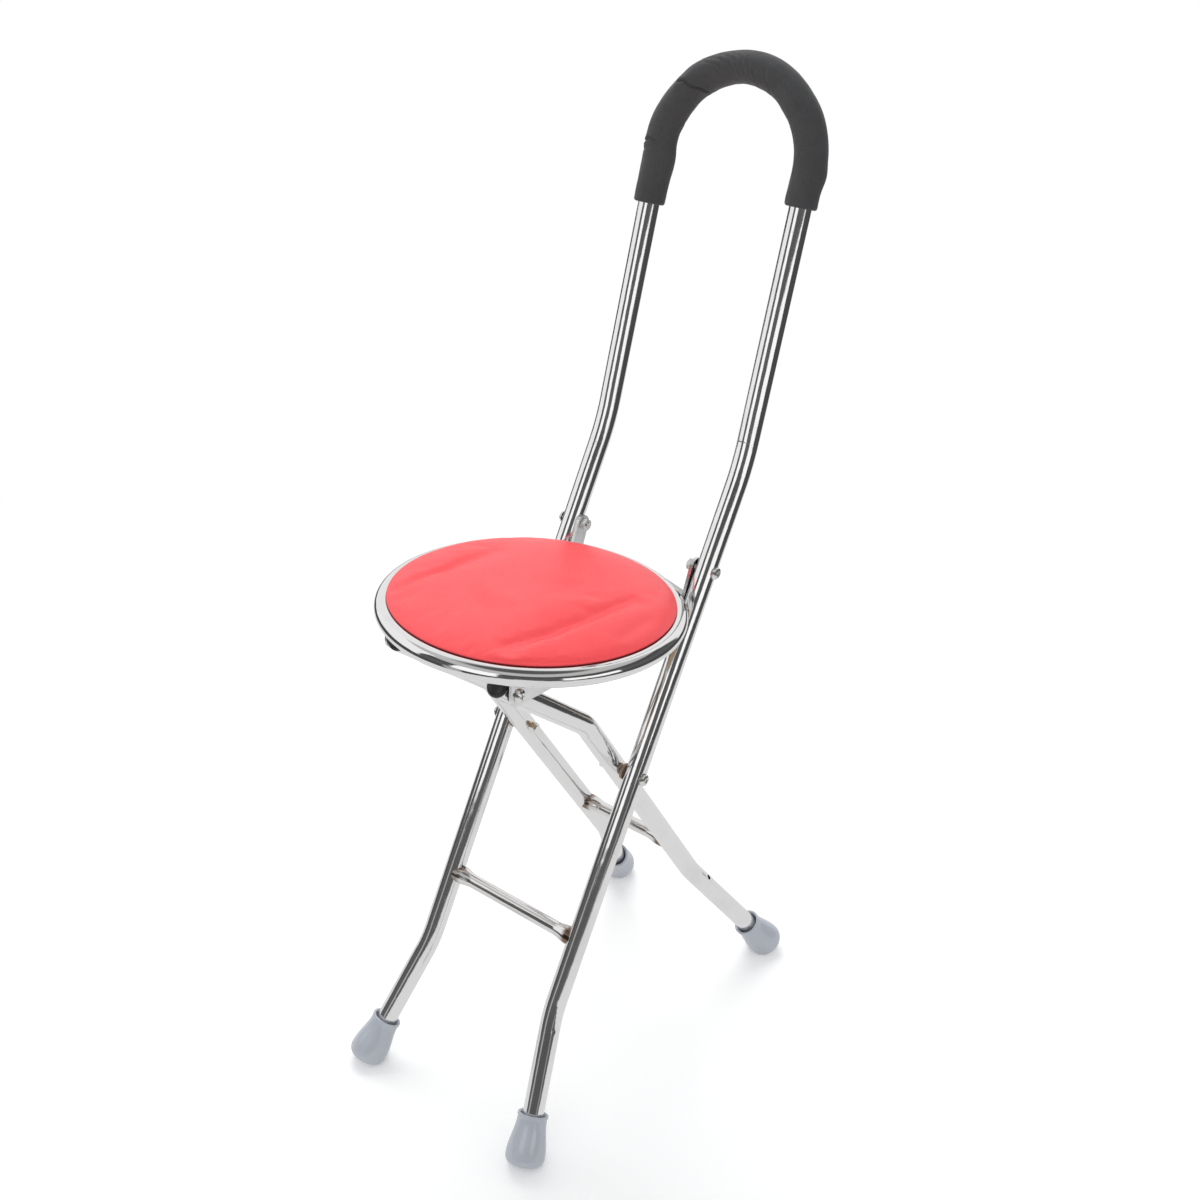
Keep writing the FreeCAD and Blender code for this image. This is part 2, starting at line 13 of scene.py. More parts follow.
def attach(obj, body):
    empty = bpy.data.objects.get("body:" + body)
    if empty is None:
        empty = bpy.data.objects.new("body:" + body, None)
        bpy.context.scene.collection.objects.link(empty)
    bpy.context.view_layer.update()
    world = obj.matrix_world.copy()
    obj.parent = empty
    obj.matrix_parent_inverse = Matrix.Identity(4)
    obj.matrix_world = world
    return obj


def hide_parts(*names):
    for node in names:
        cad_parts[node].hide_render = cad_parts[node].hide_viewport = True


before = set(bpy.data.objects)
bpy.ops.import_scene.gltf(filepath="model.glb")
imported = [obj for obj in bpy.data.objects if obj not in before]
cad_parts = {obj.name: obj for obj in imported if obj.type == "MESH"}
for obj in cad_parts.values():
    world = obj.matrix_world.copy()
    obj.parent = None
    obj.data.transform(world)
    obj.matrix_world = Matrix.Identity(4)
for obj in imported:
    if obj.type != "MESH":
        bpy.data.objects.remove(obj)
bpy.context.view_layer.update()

MM = 0.001
SIDES = (("left", -1), ("right", 1))

# Real sizes in millimetres of the pieces that are drawn here again.
# A place in the side plane is (toward the rear, up); a foot's place is (outward, toward the rear).
TUBE_R = 9.5
MAIN_HALF = 75.5
MAIN_FOOT = (98.0, -188.7)
MAIN_LOW = (-130.0, 118.7)
MAIN_KNEE = (107.7, 574.8)
MAIN_TOP = (168.6, 813.1)
REAR_HALF = 53.8
REAR_FOOT = (96.5, 190.4)
REAR_LOW = (109.0, 127.8)
REAR_KINK = (-71.5, 385.9)
SEAT_PIVOT = (-174.52255, 467.20321)
PAST_PIVOT = 9.5
LOW_BEND_RADIUS = 150.0
KNEE_RADIUS = 180.0
KINK_RADIUS = 55.0
REAR_BEND_RADIUS = 60.0
HOLE_SPOT = (67.2, 124.6, 116.4)
HOLE_WAY = (0.75, 0.3, 0.55)
HOLE_R = 2.6

# The bender's press mark inside a bend: its depth, and half the length of the step at its ends.
LOW_BEND_PRESS = (0.32, 3.0)
KNEE_PRESS = (0.1, 6.0)
REAR_BEND_PRESS = (0.0, 6.0)
KINK_PRESS = (0.16, 6.0)
PRESS_SPREAD = math.radians(36.0)
PRESS_SLANT = 2.0
PRESS_PAST_BEND = 12.0

# A crossbar's end starts to widen some way before the leg's middle and stops short of it.
BAR_UP = 70.0
BAR_R = 6.35
BAR_END_R = 8.3
BAR_END_FLAT = 0.55
BAR_WIDENS_FROM = 25.5
BAR_WIDENS_LONG = 15.0
BAR_ENDS_BEFORE = 3.0
WELD_HEAT_LONG = 6.0

RING_TUBE_R = 8.0
RING_R = 122.5
SEAT_MIDDLE = (-80.4, 483.2)
SEAT_PITCH = math.radians(-2.6)

FOOT_BALL_Z = 15.2
FOOT_TUBE_UP = 3.0
FOOT_TOE_R = 18.0
FOOT_TOE_DOWN = 7.0
FOOT_SOLE_DOWN = 16.0
FOOT_SOLE_R = 11.5
FOOT_DOME = 1.0
FOOT_WAIST_R = 13.3
FOOT_WAIST_END = 28.0
FOOT_RIM_R = 13.9
FOOT_RIM = 31.0
FOOT_BORE_R = 9.55
FOOT_BORE_END = 4.0
# The lip: how far inside its widest round, and how far below its top.
FOOT_LIP = [(0.45, 2.9), (0.1, 2.65), (0.0, 2.3), (0.0, 0.7), (0.15, 0.25), (0.6, 0.0),
            (1.7, 0.1), (2.3, 0.5), (2.7, 1.4), (3.7, 4.5), (4.35, 7.0)]


# Small helpers for lines and meshes

def yz(x, point):
    return Vector((x, point[0], point[1]))


def toward(a, b, far):
    """The point that lies far from a on the way to b, in the side plane."""
    share = far / math.dist(a, b)
    return a[0] + (b[0] - a[0]) * share, a[1] + (b[1] - a[1]) * share


def soft_step(value, low, high):
    t = max(0.0, min(1.0, (value - low) / (high - low)))
    return t * t * (3 - 2 * t)


def bent_line(corners, radii, arc_step=math.radians(2.0)):
    """Points along straight runs joined by true bends, and each bend's two ends and inner side."""
    points = [corners[0]]
    bends = []
    for before, corner, after, radius in zip(corners, corners[1:], corners[2:], radii):
        came = (corner - before).normalized()
        goes = (after - corner).normalized()
        turn = came.angle(goes)
        start = corner - came * (radius * math.tan(turn / 2))
        side = (goes - came).normalized()
        middle = corner + side * (radius / math.cos(turn / 2))
        steps = max(3, math.ceil(turn / arc_step))
        axis = came.cross(goes).normalized()
        for i in range(steps + 1):
            points.append(middle + Matrix.Rotation(turn * i / steps, 3, axis) @ (start - middle))
        bends.append((start, points[-1], side))
    points.append(corners[-1])
    return points, bends


def reach_of(points, spot):
    """Length along the line to the point of it that lies nearest to spot."""
    best, gone = (math.inf, 0.0), 0.0
    for a, b in zip(points, points[1:]):
        run = b - a
        share = max(0.0, min(1.0, (spot - a).dot(run) / run.length_squared))
        best = min(best, ((spot - a - run * share).length, gone + run.length * share))
        gone += run.length
    return best[1]


def closer_at(points, places, near=24.0, close=1.0, wide=9.0):
    """The same line with points close together near each place, and wide apart elsewhere."""
    out, gone = [points[0]], 0.0
    for a, b in zip(points, points[1:]):
        run = (b - a).length
        here = 0.0
        while here < run - 1e-6:
            gap = min(abs(gone + here - place) for place in places)
            here = min(run, here + (close if gap < near else wide))
            out.append(a.lerp(b, here / run))
        gone += run
    return out


def frames_along(points, first_side):
    """Point, side and up at each point, without twist."""
    rows = []
    side = first_side.copy()
    for i, p in enumerate(points):
        a = points[max(0, i - 1)]
        b = points[min(len(points) - 1, i + 1)]
        tangent = (b - a).normalized()
        side = (side - tangent * side.dot(tangent)).normalized()
        rows.append((p, side, tangent.cross(side)))
    return rows


def turns_of(count):
    """Angles in equal steps all round."""
    return [2 * math.pi * k / count for k in range(count)]


def round_spot(middle, across, up, r, turn):
    return middle + across * (r * math.cos(turn)) + up * (r * math.sin(turn))


def number_rings(count, around, first=0):
    """The vertex numbers of rings that follow each other, from the first number on."""
    return [list(range(first + i * around, first + (i + 1) * around)) for i in range(count)]


def after_each(ring):
    """The ring's numbers, each moved on by one place."""
    return ring[1:] + ring[:1]


def quads_between(rings, closed=False):
    """Quads from each ring of vertex numbers to the next, and if closed back to the first."""
    following = after_each(rings) if closed else rings[1:]
    return [quad for low, high in zip(rings, following)
            for quad in zip(low, after_each(low), after_each(high), high)]


def tube_mesh(rows, radius_at, around):
    """Closed tube skin: vertices, faces, and a UV of metres along and turns round.

    radius_at takes the length along the tube and the way out of its skin.
    """
    reach = [0.0]
    for a, b in zip(rows, rows[1:]):
        reach.append(reach[-1] + (b[0] - a[0]).length)
    verts, uvs = [], []
    for (p, side, up), along in zip(rows, reach):
        for turn in turns_of(around):
            out = side * math.cos(turn) + up * math.sin(turn)
            verts.append(p + out * radius_at(along, out))
    for near, far in zip(reach, reach[1:]):
        for k in range(around):
            uvs += [(along * MM, turn / around)
                    for along, turn in ((near, k), (near, k + 1), (far, k + 1), (far, k))]
    rings = number_rings(len(rows), around)
    faces = quads_between(rings) + [tuple(rings[0][::-1]), tuple(rings[-1])]
    uvs += [(0.0, k / around) for k in reversed(range(around))]
    uvs += [(reach[-1] * MM, k / around) for k in range(around)]
    return verts, faces, uvs


def placed(name, data):
    """A new object in the scene."""
    made = bpy.data.objects.new(name, data)
    bpy.context.scene.collection.objects.link(made)
    return made


def placed_mesh(name, verts, faces):
    mesh = bpy.data.meshes.new(name)
    mesh.from_pydata(verts, [], faces)
    return placed(name, mesh)


def mesh_piece(name, body, slot_name, verts, faces, corners_uv=None):
    """A smooth skin in millimetres with its finish, riding on its body."""
    piece = placed_mesh(name, [Vector(v) * MM for v in verts], faces)
    mesh = piece.data
    if corners_uv is not None:
        layer = mesh.uv_layers.new(name="along_and_round")
        layer.data.foreach_set("uv", [value for corner in corners_uv for value in corner])
    mesh.validate()
    mesh.polygons.foreach_set("use_smooth", [True] * len(mesh.polygons))
    mesh.materials.append(FINISHES[slot_name])
    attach(piece, body)
    return piece


def mark_points(piece, name, values):
    """One number for each vertex, which the finish reads by its name."""
    piece.data.attributes.new(name, "FLOAT", "POINT").data.foreach_set("value", values)


def turn_out(piece, many_corners=32):
    """Makes all faces of a closed piece look outwards, and splits faces of many corners."""
    work = bmesh.new()
    work.from_mesh(piece.data)
    wide = [face for face in work.faces if len(face.verts) > many_corners]
    bmesh.ops.triangulate(work, faces=wide)
    bmesh.ops.recalc_face_normals(work, faces=work.faces)
    work.to_mesh(piece.data)
    work.free()


def keep_modifier(piece, modifier):
    """Puts what the modifier makes into the piece's own mesh."""
    bpy.context.view_layer.update()
    shown = piece.evaluated_get(bpy.context.evaluated_depsgraph_get())
    mesh = bpy.data.meshes.new_from_object(shown)
    piece.modifiers.remove(modifier)
    piece.data = mesh


# Node groups shared by the finishes

class Wiring:
    """Short way to add nodes to one tree and join them."""

    def __init__(self, tree):
        self.tree = tree

    def add(self, kind, values=None, **settings):
        node = self.tree.nodes.new(kind)
        for key, value in settings.items():
            setattr(node, key, value)
        for key, value in (values or {}).items():
            self.feed(node.inputs[key], value)
        return node

    def feed(self, socket, value):
        """Joins a socket to another one, or writes a plain value in it."""
        if isinstance(value, bpy.types.NodeSocket):
            self.tree.links.new(value, socket)
        else:
            socket.default_value = value

    def maths(self, operation, a, b=0.0, c=0.0, clamp=False):
        node = self.add("ShaderNodeMath", {0: a, 1: b, 2: c}, operation=operation,
                        use_clamp=clamp)
        return node.outputs[0]

    def vector(self, operation, a, b=(0.0, 0.0, 0.0)):
        return self.add("ShaderNodeVectorMath", {0: a, 1: b}, operation=operation).outputs

    def noise(self, place, scale, detail, roughness=0.5):
        return self.add("ShaderNodeTexNoise", {"Vector": place, "Scale": scale, "Detail": detail,
                                               "Roughness": roughness}).outputs

    def cells(self, place, scale, feature):
        return self.add("ShaderNodeTexVoronoi", {"Vector": place, "Scale": scale},
                        feature=feature).outputs[0]

    def above(self, value, low, gain):
        """How far the value is above low, times gain, from 0 to 1."""
        return self.maths("MULTIPLY", self.maths("SUBTRACT", value, low), gain, clamp=True)

    def shaken(self, place, by, far):
        """The place, moved up to far by a noise's colour."""
        return self.vector("ADD", place, self.vector("MULTIPLY", by, (far, far, far))[0])[0]

    def span(self, value, low, high, at_low, at_high, kind="LINEAR"):
        """From low to high the value turns into at_low to at_high, and it stops there."""
        node = self.add("ShaderNodeMapRange", {0: value, 1: low, 2: high, 3: at_low, 4: at_high},
                        interpolation_type=kind)
        return node.outputs[0]

    def ramp(self, value, stops):
        """A colour ramp; each stop has its place and a grey or a colour."""
        node = self.add("ShaderNodeValToRGB", {0: value})
        line = node.color_ramp
        line.elements.remove(line.elements[-1])
        for i, (at, tone) in enumerate(stops):
            stop = line.elements.new(at) if i else line.elements[0]
            stop.position = at
            stop.color = (*(tone if isinstance(tone, tuple) else (tone, tone, tone)), 1.0)
        return node.outputs[0]

    def blend_colour(self, amount, a, b):
        node = self.add("ShaderNodeMix", {0: amount}, data_type="RGBA", clamp_factor=True)
        for socket, value in ((node.inputs[6], a), (node.inputs[7], b)):
            self.feed(socket, (*value, 1.0) if isinstance(value, tuple) else value)
        return node.outputs[2]


def new_group(name, inputs, outputs, gives="NodeSocketFloat"):
    """A node group with its wiring, what it is given, and where it puts its results.

    An input without a value of its own is a place.
    """
    tree = bpy.data.node_groups.new(name, "ShaderNodeTree")
    for socket, value in inputs:
        kind = "NodeSocketVector" if value is None else "NodeSocketFloat"
        made = tree.interface.new_socket(name=socket, in_out="INPUT", socket_type=kind)
        if value is not None:
            made.default_value = value
    for socket in outputs:
        tree.interface.new_socket(name=socket, in_out="OUTPUT", socket_type=gives)
    w = Wiring(tree)
    return w, w.add("NodeGroupInput").outputs, w.add("NodeGroupOutput").inputs


def tube_lay_group():
    """Turns a tube's along-and-round UV into a seamless place on its skin."""
    w, given, put = new_group("tube_lay", [("Along and round", None), ("Stretch", 0.03)], ["Lay"],
                              gives="NodeSocketVector")
    parts = w.add("ShaderNodeSeparateXYZ", {0: given["Along and round"]}).outputs
    angle = w.maths("MULTIPLY", parts[1], 2 * math.pi)
    x = w.maths("MULTIPLY", w.maths("COSINE", angle), TUBE_R * MM)
    y = w.maths("MULTIPLY", w.maths("SINE", angle), TUBE_R * MM)
    along = w.maths("MULTIPLY", parts[0], given["Stretch"])
    w.feed(put["Lay"], w.add("ShaderNodeCombineXYZ", {0: x, 1: y, 2: along}).outputs[0])
    return w.tree


def drawn_lines_group():
    """Fine lines left by drawing and polishing, with slow waves in the skin."""
    w, given, put = new_group("drawn_lines", [("Lay", None), ("Place", None),
                                              ("Line scale", 2600.0), ("Wave scale", 28.0)],
                              ["Lines", "Waves"])
    w.feed(put["Lines"], w.noise(given["Lay"], given["Line scale"], 3.0, 0.6)[0])
    w.feed(put["Waves"], w.noise(given["Place"], given["Wave scale"], 2.0, 0.45)[0])
    return w.tree


def handling_marks_group():
    """Short thin scratches and small dull spots from being carried and set down."""
    w, given, put = new_group("handling_marks", [("Place", None), ("Size", 60.0), ("Amount", 0.3)],
                              ["Scratches", "Dull"])
    bent = w.noise(given["Place"], given["Size"], 1.0)[1]
    moved = w.shaken(given["Place"], bent, 0.05)
    edges = w.cells(moved, given["Size"], "DISTANCE_TO_EDGE")
    thin = w.maths("LESS_THAN", edges, 0.012)
    broken = w.above(w.noise(given["Place"], 90.0, 2.0)[0], 0.52, 9.0)
    lines = w.maths("MULTIPLY", thin, broken)
    w.feed(put["Scratches"], w.maths("MULTIPLY", lines, given["Amount"]))
    cloud = w.above(w.noise(given["Place"], 24.0, 4.0, 0.62)[0], 0.5, 3.0)
    w.feed(put["Dull"], w.maths("MULTIPLY", cloud, given["Amount"]))
    return w.tree


def fine_dust_group():
    """Pale dust that gathers in patches."""
    w, given, put = new_group("fine_dust", [("Place", None), ("Patch scale", 45.0),
                                            ("Amount", 0.4)], ["Dust"])
    patch = w.above(w.noise(given["Place"], given["Patch scale"], 6.0, 0.7)[0], 0.42, 3.0)
    specks = w.maths("MULTIPLY", patch, w.noise(given["Place"], 900.0, 2.0)[0])
    w.feed(put["Dust"], w.maths("MULTIPLY", specks, given["Amount"]))
    return w.tree


def closed_pores_group():
    """Pits of closed foam or the fine skin of moulded rubber."""
    w, given, put = new_group("closed_pores", [("Place", None), ("Pore scale", 900.0),
                                               ("Unevenness", 0.5)], ["Height", "Pits"])
    pits = w.span(w.cells(given["Place"], given["Pore scale"], "F1"), 0.05, 0.45, 0.0, 1.0)
    lumps = w.noise(given["Place"], 140.0, 5.0, 0.6)[0]
    w.feed(put["Height"], w.maths("ADD", pits, w.maths("MULTIPLY", lumps, given["Unevenness"])))
    w.feed(put["Pits"], pits)
    return w.tree


def vinyl_grain_group():
    """Pressed grain: small rounded cells with hairline valleys between them."""
    w, given, put = new_group("vinyl_grain", [("Place", None), ("Cell scale", 800.0)],
                              ["Height", "Valleys"])
    moved = w.shaken(given["Place"], w.noise(given["Place"], 300.0, 2.0)[1], 0.0016)
    edges = w.cells(moved, given["Cell scale"], "DISTANCE_TO_EDGE")
    valley = w.span(edges, 0.0, 0.22, 0.0, 1.0)
    fine = w.maths("MULTIPLY", w.noise(given["Place"], 2600.0, 2.0)[0], 0.25)
    w.feed(put["Height"], w.maths("ADD", valley, fine))
    w.feed(put["Valleys"], valley)
    return w.tree


TUBE_LAY = tube_lay_group()
DRAWN_LINES = drawn_lines_group()
HANDLING_MARKS = handling_marks_group()
FINE_DUST = fine_dust_group()
CLOSED_PORES = closed_pores_group()
VINYL_GRAIN = vinyl_grain_group()


# Finishes

class Finish(Wiring):
    """One material with its Principled shader, and the groups placed in it."""

    def __init__(self, name, **shader):
        self.material = bpy.data.materials.new(name)
        self.material.use_nodes = True
        super().__init__(self.material.node_tree)
        self.skin = self.tree.nodes["Principled BSDF"]
        for key, value in shader.items():
            self.skin.inputs[key.replace("_", " ")].default_value = value
        self.place = self.add("ShaderNodeTexCoord").outputs["Object"]

    def group(self, tree, **values):
        node = self.add("ShaderNodeGroup", node_tree=tree)
        for key, value in values.items():
            self.feed(node.inputs[key.replace("_", " ")], value)
        return node.outputs

    def marked(self, name):
        """The number that the piece's vertices carry under this name."""
        return self.add("ShaderNodeAttribute", attribute_name=name).outputs["Fac"]

    def stretched(self, share):
        """The place, drawn out from front to rear."""
        return self.add("ShaderNodeMapping", {"Vector": self.place,
                                              "Scale": (1.0, share, 1.0)}).outputs[0]

    def bump(self, height, distance, **under):
        return self.add("ShaderNodeBump", {"Height": height, "Distance": distance,
                                           **under}).outputs[0]

    def done(self, colour, roughness, normal):
        for socket, value in (("Base Color", colour), ("Roughness", roughness),
                              ("Normal", normal)):
            self.feed(self.skin.inputs[socket], value)
        return self.material


def times(colour, *share):
    """The colour, each part times its share, or all times the one share."""
    return tuple(c * k for c, k in zip(colour, share * 3))


def bright_tube(name, colour, low, high, line_scale, wave_depth):
    """Polished tube: mirror skin, drawn lines, slow waves, faint marks, brown tint by welds."""
    f = Finish(name, Metallic=1.0)
    uv = f.add("ShaderNodeUVMap", uv_map="along_and_round").outputs[0]
    lay = f.group(TUBE_LAY, Along_and_round=uv, Stretch=0.03)["Lay"]
    drawn = f.group(DRAWN_LINES, Lay=lay, Place=f.place, Line_scale=line_scale, Wave_scale=26.0)
    marks = f.group(HANDLING_MARKS, Place=f.place, Size=55.0, Amount=0.35)
    warm = times(colour, 0.93, 0.9, 0.88)
    shade = f.blend_colour(f.maths("MULTIPLY", drawn["Waves"], 0.5), colour, warm)
    shade = f.blend_colour(marks["Dull"], shade, times(warm, 0.84))
    patchy = f.maths("ADD", drawn["Waves"], 0.35)
    heat = f.maths("MULTIPLY", f.marked("weld_heat"), patchy, clamp=True)
    shade = f.blend_colour(heat, shade, (0.2, 0.13, 0.09))
    rough = f.span(drawn["Lines"], 0.35, 0.7, low, high)
    rough = f.maths("ADD", rough, f.maths("MULTIPLY", marks["Dull"], 0.16))
    rough = f.maths("ADD", rough, f.maths("MULTIPLY", marks["Scratches"], 0.3))
    waves = f.bump(drawn["Waves"], wave_depth)
    return f.done(shade, rough, f.bump(drawn["Lines"], 0.000012, Normal=waves))


def pressed_plate(name, colour, rough_low, rough_high):
    """Zinc plated sheet: soft brushed lines along the seat, cloudy zinc, small marks."""
    f = Finish(name, Metallic=1.0)
    drawn = f.group(DRAWN_LINES, Lay=f.stretched(0.05), Place=f.place, Line_scale=1500.0,
                    Wave_scale=60.0)
    marks = f.group(HANDLING_MARKS, Place=f.place, Size=90.0, Amount=0.6)
    rough = f.span(drawn["Lines"], 0.3, 0.7, rough_low, rough_high)
    rough = f.maths("ADD", rough, f.maths("MULTIPLY", marks["Scratches"], 0.25))
    return f.done(f.blend_colour(drawn["Waves"], colour, times(colour, 0.8)), rough,
                  f.bump(drawn["Lines"], 0.00002))


def moulded(name, colour, worn, rough, dust, depth=0.00003, pore_scale=900.0, gloss=0.5,
            uneven=0.8):
    """Moulded rubber or plastic: fine skin, rubbed paler patches, a little dust."""
    f = Finish(name, Specular_IOR_Level=gloss)
    skin = f.group(CLOSED_PORES, Place=f.place, Pore_scale=pore_scale, Unevenness=uneven)
    powder = f.group(FINE_DUST, Place=f.place, Patch_scale=60.0, Amount=dust)
    marks = f.group(HANDLING_MARKS, Place=f.place, Size=110.0, Amount=0.5)
    shade = f.blend_colour(marks["Dull"], colour, worn)
    shade = f.blend_colour(powder["Dust"], shade, tuple(min(1, c * 1.5 + 0.08) for c in worn))
    level = f.span(skin["Pits"], 0.0, 1.0, rough + 0.12, rough)
    level = f.maths("ADD", level, f.maths("MULTIPLY", powder["Dust"], 0.3))
    return f.done(shade, level, f.bump(skin["Height"], depth))


def grip_foam_finish():
    """Matt black foam with closed pores coloured darker as painted shade, paler where it is
    rubbed.
    """
    f = Finish("grip_foam", Specular_IOR_Level=0.35, Sheen_Weight=0.12, Sheen_Roughness=0.5)
    skin = f.group(CLOSED_PORES, Place=f.place, Pore_scale=1100.0, Unevenness=1.0)
    powder = f.group(FINE_DUST, Place=f.place, Patch_scale=38.0, Amount=0.3)
    marks = f.group(HANDLING_MARKS, Place=f.place, Size=40.0, Amount=0.7)
    shade = f.blend_colour(marks["Dull"], (0.054, 0.054, 0.056), (0.066, 0.066, 0.069))
    # Painted shade: the pores are coloured darker than the foam round them.
    shade = f.blend_colour(skin["Pits"], (0.036, 0.036, 0.038), shade)
    shade = f.blend_colour(powder["Dust"], shade, (0.12, 0.12, 0.124))
    return f.done(shade, f.span(skin["Pits"], 0.0, 1.0, 0.85, 0.62),
                  f.bump(skin["Height"], 0.00012))


def pad_vinyl_finish():
    """Coral red vinyl with a fine pressed grain and a soft shine, painted shade where it is tucked
    in.
    """
    f = Finish("pad_vinyl", Specular_IOR_Level=0.6)
    grain = f.group(VINYL_GRAIN, Place=f.place, Cell_scale=900.0)
    powder = f.group(FINE_DUST, Place=f.place, Patch_scale=24.0, Amount=0.06)
    cloud = f.noise(f.place, 14.0, 3.0)[0]
    shade = f.blend_colour(cloud, (0.985, 0.07, 0.082), (0.995, 0.084, 0.097))
    # Painted shade: the grain's hairline valleys are coloured a darker red.
    shade = f.blend_colour(grain["Valleys"], (0.95, 0.055, 0.066), shade)
    shade = f.blend_colour(powder["Dust"], shade, (0.98, 0.5, 0.5))
    # Painted shade: a dark red on the low side of the rim, where it turns under the cover.
    shade = f.blend_colour(f.marked("tuck_painted_shade"), shade, (0.3, 0.012, 0.016))
    return f.done(shade, f.span(grain["Valleys"], 0.0, 1.0, 0.42, 0.31),
                  f.bump(grain["Height"], 0.00004))


def board_ply_finish():
    """Raw plywood: long grain, darker pores, glue lines on the edge."""
    f = Finish("board_ply", Specular_IOR_Level=0.3)
    grain = f.add("ShaderNodeTexNoise", {"Vector": f.stretched(0.07), "Scale": 260.0,
                                         "Detail": 6.0, "Roughness": 0.7,
                                         "Distortion": 0.4}).outputs[0]
    layers = f.add("ShaderNodeTexWave", {"Vector": f.place, "Scale": 110.0, "Distortion": 0.6,
                                         "Detail": 2.0}, bands_direction="Z").outputs[1]
    wood = f.ramp(grain, [(0.3, (0.36, 0.22, 0.11)), (0.5, (0.56, 0.38, 0.2)),
                          (0.75, (0.68, 0.49, 0.28))])
    shade = f.blend_colour(f.maths("MULTIPLY", layers, 0.35), wood, (0.3, 0.18, 0.09))
    return f.done(shade, f.span(grain, 0.2, 0.8, 0.78, 0.6), f.bump(grain, 0.0002))


BRIGHT = (0.88, 0.88, 0.885)
FINISHES = {name: make(name, *look) for name, make, *look in (
    ("polished_tube", bright_tube, BRIGHT, 0.055, 0.13, 2600.0, 0.0003),
    ("crossbar_steel", bright_tube, (0.84, 0.835, 0.83), 0.08, 0.17, 2800.0, 0.0002),
    ("ring_steel", bright_tube, BRIGHT, 0.04, 0.09, 2400.0, 0.0002),
    ("plate_steel", pressed_plate, (0.9, 0.9, 0.9), 0.16, 0.3),
    ("fastener_steel", pressed_plate, (0.92, 0.92, 0.91), 0.12, 0.24),
    ("foot_rubber", moulded, (0.48, 0.51, 0.565), (0.5, 0.53, 0.58), 0.1, 0.06, 0.000008, 700.0,
     0.8, 0.4),
    ("plug_plastic", moulded, (0.018, 0.018, 0.019), (0.03, 0.03, 0.032), 0.32, 0.12),
    ("spacer_plastic", moulded, (0.3, 0.21, 0.16), (0.36, 0.27, 0.22), 0.3, 0.15),
    ("washer_plastic", moulded, (0.02, 0.02, 0.02), (0.035, 0.035, 0.035), 0.45, 0.1),
)}
FINISHES["grip_foam"] = grip_foam_finish()
FINISHES["cushion_vinyl"] = pad_vinyl_finish()
FINISHES["board_wood"] = board_ply_finish()


# Tubes

HOOP_UP = (yz(0, MAIN_TOP) - yz(0, MAIN_KNEE)).normalized()


def hoop_out(angle):
    """The way out of the hoop, at an angle from its left side over the top to the right."""
    return HOOP_UP * math.sin(angle) - Vector((1, 0, 0)) * math.cos(angle)


def leg_end(side, foot, half, low):
    """The middle of a foot's ball, the leg's lower corner, and the way from one to the other."""
    ball = Vector((side * foot[0], foot[1], FOOT_BALL_Z))
    corner = yz(side * half, low)
    return ball, corner, (corner - ball).normalized()


def leg_corners(side, foot, half, low, *above):
    """The corners of one leg's line, from inside its foot upwards."""
    ball, corner, way = leg_end(side, foot, half, low)
    return [ball + way * FOOT_TUBE_UP, corner] + [yz(side * half, place) for place in above]


def main_tube_line(hoop_steps=90):
    sides, bends = [], []
    for _, side in SIDES:
        corners = leg_corners(side, MAIN_FOOT, MAIN_HALF, MAIN_LOW, MAIN_KNEE, MAIN_TOP)
        points, found = bent_line(corners, (LOW_BEND_RADIUS, KNEE_RADIUS))
        sides.append(points)
        bends += found
    hoop = [yz(0, MAIN_TOP) + hoop_out(math.pi * i / hoop_steps) * MAIN_HALF
            for i in range(1, hoop_steps)]
    return sides[0] + hoop + sides[1][::-1], bends


def rear_leg_line(side):
    end = toward(REAR_KINK, SEAT_PIVOT, math.dist(REAR_KINK, SEAT_PIVOT) + PAST_PIVOT)
    corners = leg_corners(side, REAR_FOOT, REAR_HALF, REAR_LOW, REAR_KINK, end)
    return bent_line(corners, (REAR_BEND_RADIUS, KINK_RADIUS))


def tube_piece(name, node, line, presses, body, around=64):
    """Bent tube. The bender leaves the inside of each bend pressed in, between two steps."""
    points, bends = line
    marks = []
    for (start, end, inner), (depth, step) in zip(bends, presses):
        a, b = sorted((reach_of(points, start), reach_of(points, end)))
        marks.append((a, b, inner, depth, step))
    points = closer_at(points, [place for mark in marks for place in mark[:2]])

    def radius(along, out):
        r = TUBE_R
        for a, b, inner, depth, step in marks:
            if a - PRESS_PAST_BEND < along < b + PRESS_PAST_BEND:
                turned = out.angle(inner)
                slant = PRESS_SLANT * math.sin(turned) * (1 if out.z > 0 else -1)
                inside = math.exp(-(turned / PRESS_SPREAD) ** 2)
                r -= depth * inside * min(soft_step(along - slant, a - step, a + step),
                                          soft_step(b - along + slant, -step, step))
        return r

    rows = frames_along(points, Vector((0, 1, 0.4)))
    piece = mesh_piece(name, body, "polished_tube", *tube_mesh(rows, radius, around))
    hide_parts(node)
    return piece


def drill(piece, spot, way, radius, above=3.0, depth=9.0, corners=20):
    """A round hole bored straight into the skin, from above the spot down to the depth."""
    across = way.orthogonal().normalized()
    up = way.cross(across)
    verts = [round_spot(spot + way * far, across, up, radius, turn) * MM
             for far in (above, -depth) for turn in turns_of(corners)]
    rings = number_rings(2, corners)
    caps = [tuple(rings[0]), tuple(rings[1][::-1])]
    tool = placed_mesh("drill", verts, caps + quads_between(rings))
    turn_out(tool)
    bore = piece.modifiers.new("bore", "BOOLEAN")
    bore.object = tool
    bore.operation = "DIFFERENCE"
    bore.solver = "EXACT"
    keep_modifier(piece, bore)
    bpy.data.objects.remove(tool)


